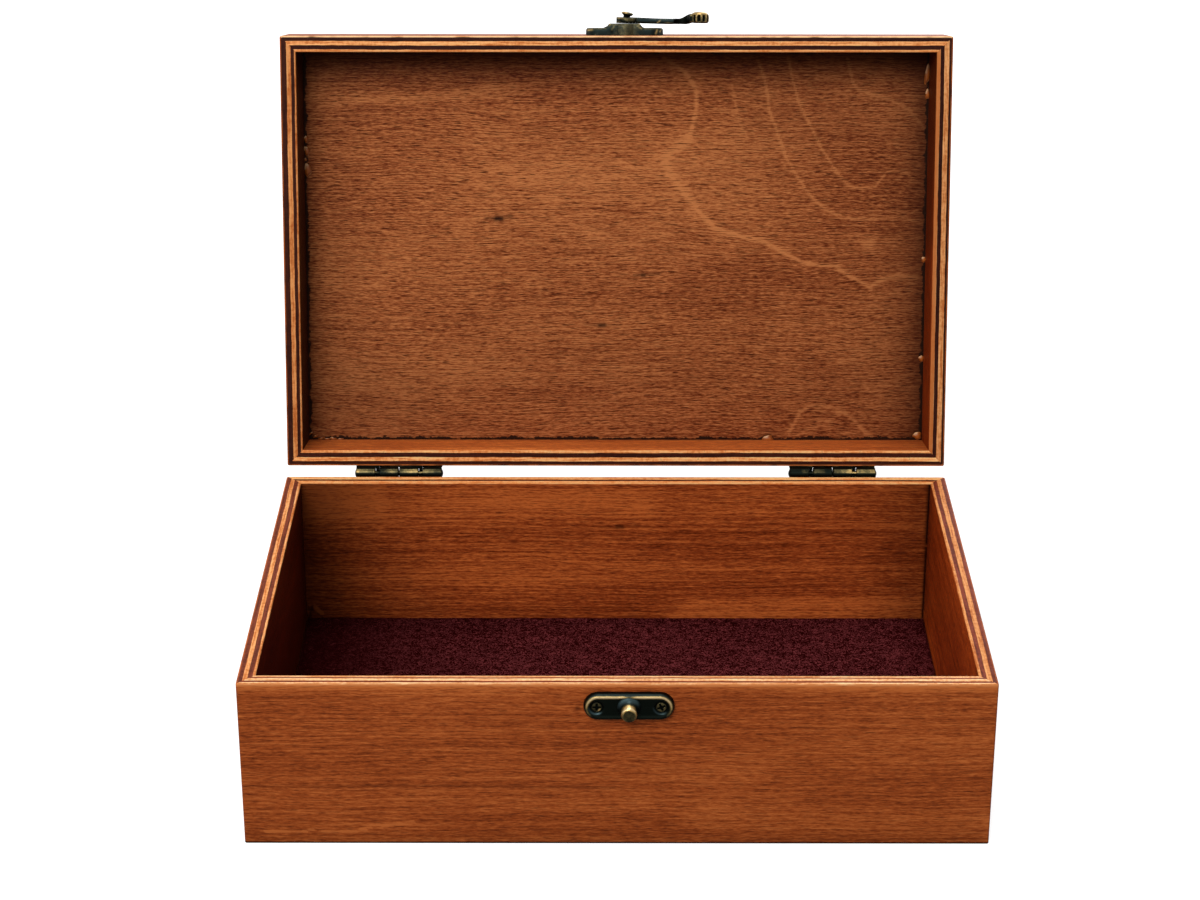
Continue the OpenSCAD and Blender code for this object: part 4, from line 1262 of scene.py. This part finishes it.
        # rubbed edge, brighter on the top side as a painted highlight
        rub = np.maximum(edge * (0.5 + 0.5 * smooth(up, -0.3, 0.9) - 0.3 * smooth(-up, 0.5, 1)),
                         shaft * 0.8)
        rub = np.where(z > 6.7, np.maximum(rub * (radius > 1.8), 0.16), rub)
        shine = 0.7 * smooth(z, 4.4, 3.0) * smooth(up, -0.1, 0.7)
        return skin(at, x, y, z, rub.clip(0, 1), shine, 0.6 * smooth(z, 4.4, 3.4) * (up < 0))

    def screw_head(self, at, side, turn, top, rub):
        """A low round head with a cross cut in it, where the smaller of |u| and |v| is under
        about a third of a mm and the larger is under about 1.4 mm. U and v turn with the screw."""
        radii = np.concatenate([[1.8, 1.8, 1.78, 1.7, 1.6], np.linspace(1.5, 0.04, 30)])[:, None]
        a = np.linspace(0, 2 * math.pi, 96, endpoint=False)[None, :]
        x, y = radii * np.cos(a), radii * np.sin(a)
        height = top - 0.22 * (radii / 1.8) ** 3
        height[:4, 0] = top - 0.9, top - 0.5, top - 0.36, top - 0.26
        u, v = np.abs(x * math.cos(turn) + y * math.sin(turn)), np.abs(
            y * math.cos(turn) - x * math.sin(turn))
        slot = smooth(np.minimum(u, v), 0.42, 0.26) * smooth(np.maximum(u, v), 1.5, 1.25)
        ring = bump_of(radii, 1.2, 0.6)
        # a painted glint on the lower right of the left screw's head
        glint = bump_of(np.cos(a + 0.85), 1, 0.12) * bump_of(radii, 1.25, 0.3)
        return skin(at, x + side * self.SCREWS, y, height - 0.55 * slot,
                    (0.32 * ring + 0.75 * glint * (side < 0)) * rub * (1 - slot), 0.0,
                    np.maximum(slot, smooth(radii, 1.62, 1.75)) * 0.95)

    def latch_plate(self, at):
        """A plate whose middle rises by a smooth step to a round boss."""
        rim = ((0, 0), (0.02, 0.9), (0.03, 1.4), (0.06, 1.9), (0.14, 2.2), (0.3, 2.48),
               (0.5, 2.62), (0.75, 2.66), (1.0, 2.62), (1.3, 2.5))
        x, y, z, inset, _ = plate(*self.LATCH_SIZE, 5.9, rim, 2.42)
        radius = np.hypot(x, 0.3 * y)
        dimple, grime, _ = self.dimples(x, y, 0.45)
        z = z - dimple * (inset > 0.8)
        z = z * (1 + 0.6 * smooth(radius, 7.4, 5.6))
        shoulder = bump_of(radius, 5.7, 0.6) * smooth(inset, 0.05, 0.3)
        ends = smooth(np.abs(x), 10, 13.5)
        high = smooth(z, 0.6, 2.4)
        wall = smooth(inset, 0.3, 0.1) * (0.05 + 0.15 * bump_of(x, 0.8, 4.6) + 0.16 * ends * high)
        rub = np.maximum(wall, bump_of(inset, 0.36, 0.22) * (0.26 + 0.12 * ends))
        rub = np.maximum(rub, 0.42 * shoulder)
        patches = strokes(np.stack([x, z], -1), self.PATCHES)
        rub = np.maximum(rub, patches * (y < 0) * smooth(inset, 0.3, 0.1))
        pit = bump_of(np.hypot(x + 4.8, z - 1.7), 0.3, 0.3) * (y < -4)
        # a faint painted reflection of the sky all over
        return skin(at, x, y, z, rub, 0.1, np.maximum(grime, 0.8 * pit))

    def bar(self, at):
        """The arm, by sections from its round eye to the knob: a section at x is a ring rounded as
        |cos|^0.3 and |sin|^0.45 between the arm's near and far edges and its lower and upper faces,
        with a round notch for the stud and an S-shaped rise to the knob."""
        eye, notch, middle, end = self.EYE, self.NOTCH, self.MIDDLE, self.END
        runs = [eye * (1 - np.cos(np.linspace(0, math.pi / 2, 24))) - eye,
                np.linspace(0.15, 11.55, 76), np.linspace(11.6, middle - notch, 30),
                middle - notch * np.cos(np.linspace(0, math.pi, 60)),
                np.linspace(middle + notch, end, 26)]
        x = np.concatenate(runs)
        in_notch = np.repeat(np.arange(len(runs)) == 3, [len(run) for run in runs])
        narrow = 1.7 * smooth(x, 29.5, 26)
        round_eye = np.sqrt((eye ** 2 - x ** 2).clip(0.02, None)) * (x < eye)
        hook = np.sqrt((self.HOOK ** 2 - (x - middle) ** 2).clip(0, None)) * 0.98
        far = np.maximum(np.maximum(round_eye, narrow), hook)
        near = -np.maximum(round_eye, narrow + 0.5 * (x > 11.58))
        near = np.where(x > middle + notch + 1.0, -1.6, near)
        near = np.where(in_notch, np.sqrt((notch ** 2 - (x - middle) ** 2).clip(0, None)), near)
        below = 0.08 * smooth(x, 14, 5) + 0.75 * smooth(x, 22.2, 25.2)
        above = 2.3 - 0.22 * smooth(x, 3, 12) + 1.95 * smooth(x, 19.6, 24.4)
        v = np.linspace(0, 2 * math.pi, 48, endpoint=False)[None, :]
        c, s = np.cos(v), np.sin(v)
        xs, y0, half, z0, thick = (a[:, None] for a in (
            x, (far + near) / 2, (far - near) / 2, (above + below) / 2, (above - below) / 2))
        y = y0 - half * np.sign(c) * np.abs(c) ** 0.3
        z = z0 - thick * np.sign(s) * np.abs(s) ** 0.45
        xs = xs + 0 * v
        nick = strokes(np.stack([xs, z], -1), [self.NICK]) * (c > 0.2)
        front = smooth(c, 0.0, 0.5)
        edge = bump_of(np.abs(s), 0.55, 0.28)
        rub = 0.05 + 0.1 * edge + 0.5 * edge * bump_of(xs, -2.8, 1.0) * front
        rub = rub + 0.25 * bump_of(xs, 1.0, 2.4) * front * bump_of(z, 1.5, 0.5)
        rub = rub + 0.3 * edge * smooth(xs, 22.5, 25) + 0.2 * bump_of(xs, 15.5, 1.2) * (z < 0.9)
        grime = 0.8 * in_notch[:, None] * front + 0.55 * bump_of(xs, 6.5, 2.0) * (z > 1.3)
        # painted reflection of the sky along the arm's upper side
        shine = 0.28 * smooth(xs, 3.0, 5.0) * smooth(xs, 20, 16) * smooth(z, 0.5, 1.5)
        return self.drooped(at, xs, y, z, np.maximum(rub, nick), shine, grime.clip(0, 1))

    def knob(self, at):
        """A domed knob with flutes: the radius is drawn in by 0.6 mm * exp(-(arc / 0.58 mm)^4)
        round each flute's middle, between the flutes' ends."""
        profile = ((2.0, 0.55), (2.6, 0.62), (2.95, 0.85), (3.12, 1.15), (3.18, 1.4), (3.2, 1.7),
                   (3.2, 2.0), (3.2, 2.3), (3.2, 2.6), (3.2, 2.9), (3.18, 3.15), (3.12, 3.4),
                   (3.0, 3.75), (2.75, 4.15), (2.3, 4.5), (1.6, 4.7), (0.8, 4.78), (0.05, 4.8))
        x, y, z, a = turned_ring(profile, 200)
        pitch = 2 * math.pi / self.FLUTES
        arc_mm = ((a + pitch / 4) % pitch - pitch / 2) * 3.2
        flute = np.exp(-(arc_mm / 0.58) ** 4) * smooth(z, 1.0, 1.4) * smooth(z, 3.75, 3.3)
        shrink = 1 - flute * 0.6 / 3.2
        rib = (0.75 + 0.25 * smooth(z, 2.5, 4.4)) * (1 - 0.5 * smooth(z, 1.2, 0.6))
        rub = rib * (1 - flute) * (0.44 + 0.14 * bump_of(np.cos(a - 1.5), -0.5, 0.6))
        along = x * shrink * self.KNOB_STRETCH + self.KNOB_AT
        return self.drooped(at, along, y * shrink, z, rub, 0.0, flute * 0.97)

    def drooped(self, at, x, y, z, rub, shine, grime):
        """A surface of the arm, lifted off the lid's front and tipped towards it at the knob."""
        return skin(at, *tipped(x, y, z, self.ARM_DROOP, self.ARM_LIFT), rub, shine, grime)

    def rivet(self, at):
        """A leaning rivet whose head is a lens on a neck."""
        profile = ((1.3, -0.6), (1.28, 0.35), (1.35, 0.5), (1.75, 0.72), (2.0, 0.95),
                   (2.1, 1.2), (2.06, 1.42), (1.85, 1.62), (1.4, 1.8), (0.8, 1.9), (0.05, 1.92))
        x, y, z, a = turned_ring(profile, 64)
        top = smooth(z, 0.95, 1.35)
        rub = top * (0.26 + 0.3 * smooth(-np.cos(a), -0.4, 0.8))
        wider = 0.1 * top * x * math.cos(math.radians(self.RIVET_LEAN))
        x, y, z = tipped(x, y, z, self.RIVET_LEAN, self.RIVET_LIFT)
        return skin(at, x + wider, y, z, rub, 0.0, 0.8 * (1 - top))


class KEEPSAKE_OT_glue(bpy.types.Operator):
    """Set the amber beads of glue along the lid's panel"""

    bl_idname = "keepsake.glue"
    bl_label = "Glue"

    # middle in mm on the panel's inner face, half widths in mm, height in mm, turn in degrees
    BEADS = (
        (-118.3, 41.3, 0.9, 1.5, 1.0, 5), (-118.0, 36.8, 1.1, 2.0, 1.1, 12),
        (-117.8, 29.6, 1.5, 2.6, 1.2, 4), (-118.6, 33.5, 0.5, 0.7, 0.5, 0),
        (59.2, -74.5, 2.3, 1.4, 1.2, 0), (117.2, -73.2, 1.75, 1.6, 1.4, 0),
        (118.2, -43.0, 1.1, 1.3, 1.0, 0), (118.4, -4.6, 1.0, 1.2, 0.9, 0),
        (118.3, 66.0, 1.1, 4.0, 1.2, -8), (118.5, 58.5, 0.9, 2.0, 1.0, 0),
        (-118.2, -72.5, 1.1, 0.36, 0.4, 38), (-116.5, -73.7, 1.2, 0.42, 0.45, 30),
        (-114.3, -74.5, 1.3, 0.3, 0.35, 14), (-112.1, -74.7, 1.2, 0.32, 0.3, 2),
        (-109.8, -74.6, 1.4, 0.42, 0.4, -4), (-107.1, -74.8, 1.5, 0.3, 0.35, 8),
    )

    SUNK = 0.1 * MM  # how deep a bead's foot lies in the panel

    def bead(self, k, right, front, wide, tall, height, turn):
        """A low dome: its reach is its half widths times cos v and the ripple
        1 + 0.10 sin(3 u + k) + 0.06 sin(5 u + 2.1 k), and its rise is height times (sin v)^0.8."""
        u = np.linspace(0, 2 * math.pi, 24, endpoint=False)[None, :]
        v = np.linspace(0, math.pi / 2, 9)[:, None]
        reach = np.cos(v) * (1 + 0.10 * np.sin(3 * u + k) + 0.06 * np.sin(5 * u + 2.1 * k)) * MM
        across, down = reach * wide * np.cos(u), reach * tall * np.sin(u)
        a = math.radians(turn)
        dx = across * math.cos(a) - down * math.sin(a)
        dy = across * math.sin(a) + down * math.cos(a)
        crown = np.broadcast_to(np.sin(v), dx.shape)
        x, y = (PANEL_LOW[:2] + PANEL_HIGH[:2]) / 2 + (right * MM, -front * MM)
        points = np.stack([x + dx, y - dy,
                           PANEL_LOW[2] + self.SUNK - height * MM * crown ** 0.8], -1)
        faces = capped(*dx.shape)[:2]
        # painted highlight on the side towards the lid's front and left, and a fainter one on the
        # opposite side
        towards = (dy * 0.85 - dx * 0.53) / np.hypot(dx, dy).clip(1e-9, None)
        glint = bump_of(crown, 0.55, 0.22) * smooth(towards, 0.55, 1.0) * 0.75
        glint = np.maximum(glint, 0.3 * bump_of(crown, 0.45, 0.15) * smooth(towards, -0.6, -1))
        return points.reshape(-1, 3), faces, {"crown": crown.ravel(), "glint": glint.ravel()}

    def execute(self, context):
        points, faces, layers = joined(self.bead(k, *row) for k, row in enumerate(self.BEADS))
        make_piece("lid_glue_beads", opened(points), faces, glue_finish(shades()),
                   "lid", layers, sharp=80)
        return {"FINISHED"}


# ---- stage ----


class KEEPSAKE_OT_stage(bpy.types.Operator):
    """Set the floor, the lights and the camera"""

    bl_idname = "keepsake.stage"
    bl_label = "Stage"

    CAMERA = (-0.0038, -0.8844, 0.5067)
    # each soft light's name, its place, the point it faces, its width and its power's setting
    LAMPS = (
        ("key_light", (-0.363, -1.265, 1.308), (0.0, 0.0, 0.08), 1.1, "key"),
        ("fill_light", (-1.2, -0.94, 1.03), (0.0, 0.0, 0.08), 0.9, "fill"),
        ("top_light", (0.0, 0.5, 1.6), (0.0, 0.0, 0.08), 0.9, "top"),
        ("back_light", (0.5, 1.5, 0.7), (0.0, 0.1, 0.1), 1.0, "back"),
        ("left_light", (-1.5, 0.35, 0.25), (0.0, 0.06, 0.1), 0.5, "sides"),
        ("right_light", (1.5, 0.35, 0.25), (0.0, 0.06, 0.1), 0.5, "sides"),
    )
    FLOOR_REACH = 4.0
    # the floor's own light, by its distance from the middle: grey near the box, white far away
    NEAR_FLOOR, FAR_FLOOR = 0.45, 1.1
    NEAR_SHADE, FAR_SHADE = (0.75, 0.75, 0.75), (1.0, 1.0, 1.0)

    def execute(self, context):
        scene, stage = context.scene, settings("stage")
        scene.view_settings.view_transform = "Standard"
        self.sky(scene, stage)
        self.floor(scene)
        for name, place, target, size, power in self.LAMPS:
            self.lamp(scene, name, place, target, size, getattr(stage, power))
        camera = bpy.data.objects.new("camera", bpy.data.cameras.new("camera"))
        camera.data.sensor_width = 36.0
        camera.data.lens = stage.lens
        camera.location = self.CAMERA
        camera.rotation_euler = (stage.pitch, 0.0, stage.yaw)
        scene.collection.objects.link(camera)
        scene.camera = camera
        return {"FINISHED"}

    def lamp(self, scene, name, place, target, size, power):
        """A round soft light that faces its target."""
        data = bpy.data.lights.new(name, "AREA")
        data.shape, data.size, data.energy = "DISK", size, power
        lamp = bpy.data.objects.new(name, data)
        lamp.location = place
        lamp.rotation_mode = "QUATERNION"
        heading = Vector(target) - Vector(place)
        lamp.rotation_quaternion = heading.to_track_quat("-Z", "Y")
        scene.collection.objects.link(lamp)

    def sky(self, scene, stage):
        """A faint light all round, which looks white to the camera and in reflections."""
        f = Finish("studio", "worlds")
        camera, glossy, clear = f.outputs(
            "ShaderNodeLightPath", ("Is Camera Ray", "Is Glossy Ray", "Is Transmission Ray"))
        strength = f.node("ShaderNodeMapRange", None, {
            "Value": camera.most(glossy).most(clear), "To Min": stage.sky, "To Max": 1.0}, "Result")
        light = f.node("ShaderNodeBackground", None,
                       {"Color": (1.0, 1.0, 1.0), "Strength": strength})
        f.node("ShaderNodeOutputWorld", None, {"Surface": light})
        scene.world = f.made

    def floor(self, scene):
        """A pale floor that shines white to the camera and still takes the box's shadow."""
        f = Finish("pale_floor")
        camera = f.node("ShaderNodeLightPath", output="Is Camera Ray")
        x, y, _ = f.axes(f.place())
        away = ((x * x + y * y) ** 0.5).step(self.NEAR_FLOOR, self.FAR_FLOOR)
        seen = f.mix(camera, (0.0, 0.0, 0.0), f.mix(away, self.NEAR_SHADE, self.FAR_SHADE))
        f.shader(base_color=(0.5, 0.5, 0.5), roughness=0.9, specular_ior_level=0.0,
                 emission_color=seen, emission_strength=1.0)
        reach = self.FLOOR_REACH
        mesh = bpy.data.meshes.new("floor")
        mesh.from_pydata([(-reach, -reach, 0), (reach, -reach, 0), (reach, reach, 0),
                          (-reach, reach, 0)], [], [(0, 1, 2, 3)])
        mesh.materials.append(f.made)
        floor = bpy.data.objects.new("floor", mesh)
        scene.collection.objects.link(floor)


PIECES = (KEEPSAKE_OT_stage, KEEPSAKE_OT_boards, KEEPSAKE_OT_bottom, KEEPSAKE_OT_panels,
          KEEPSAKE_OT_felt, KEEPSAKE_OT_fittings, KEEPSAKE_OT_glue)
GROUPS = {"wood": KEEPSAKE_PG_wood, "felt": KEEPSAKE_PG_felt, "metal": KEEPSAKE_PG_metal,
          "stage": KEEPSAKE_PG_stage}


class KEEPSAKE_PT_sidebar(bpy.types.Panel):
    """The pieces of the box, one button each"""

    bl_idname = "KEEPSAKE_PT_sidebar"
    bl_label = "Keepsake box"
    bl_space_type = "VIEW_3D"
    bl_region_type = "UI"
    bl_category = "Keepsake box"

    def draw(self, context):
        for piece in PIECES:
            self.layout.operator(piece.bl_idname)
        for group in GROUPS:
            values = settings(group)
            for key in values.bl_rna.properties.keys():
                if key not in ("rna_type", "name"):
                    self.layout.prop(values, key)


def register():
    """Adds the settings, the operators and the sidebar's panel."""
    for group in GROUPS.values():
        bpy.utils.register_class(group)
    for key, group in GROUPS.items():
        setattr(bpy.types.Scene, "keepsake_" + key, bpy.props.PointerProperty(type=group))
    for piece in PIECES:
        bpy.utils.register_class(piece)
    bpy.utils.register_class(KEEPSAKE_PT_sidebar)


def unregister():
    """Takes away what register() added."""
    bpy.utils.unregister_class(KEEPSAKE_PT_sidebar)
    for piece in reversed(PIECES):
        bpy.utils.unregister_class(piece)
    for key in GROUPS:
        delattr(bpy.types.Scene, "keepsake_" + key)
    for group in reversed(list(GROUPS.values())):
        bpy.utils.unregister_class(group)


def main():
    register()
    for piece in PIECES:
        group, name = piece.bl_idname.split(".")
        result = getattr(getattr(bpy.ops, group), name)()
        if result != {"FINISHED"}:
            raise RuntimeError(f"{piece.bl_label} wasn't made")


if __name__ == "__main__":
    main()
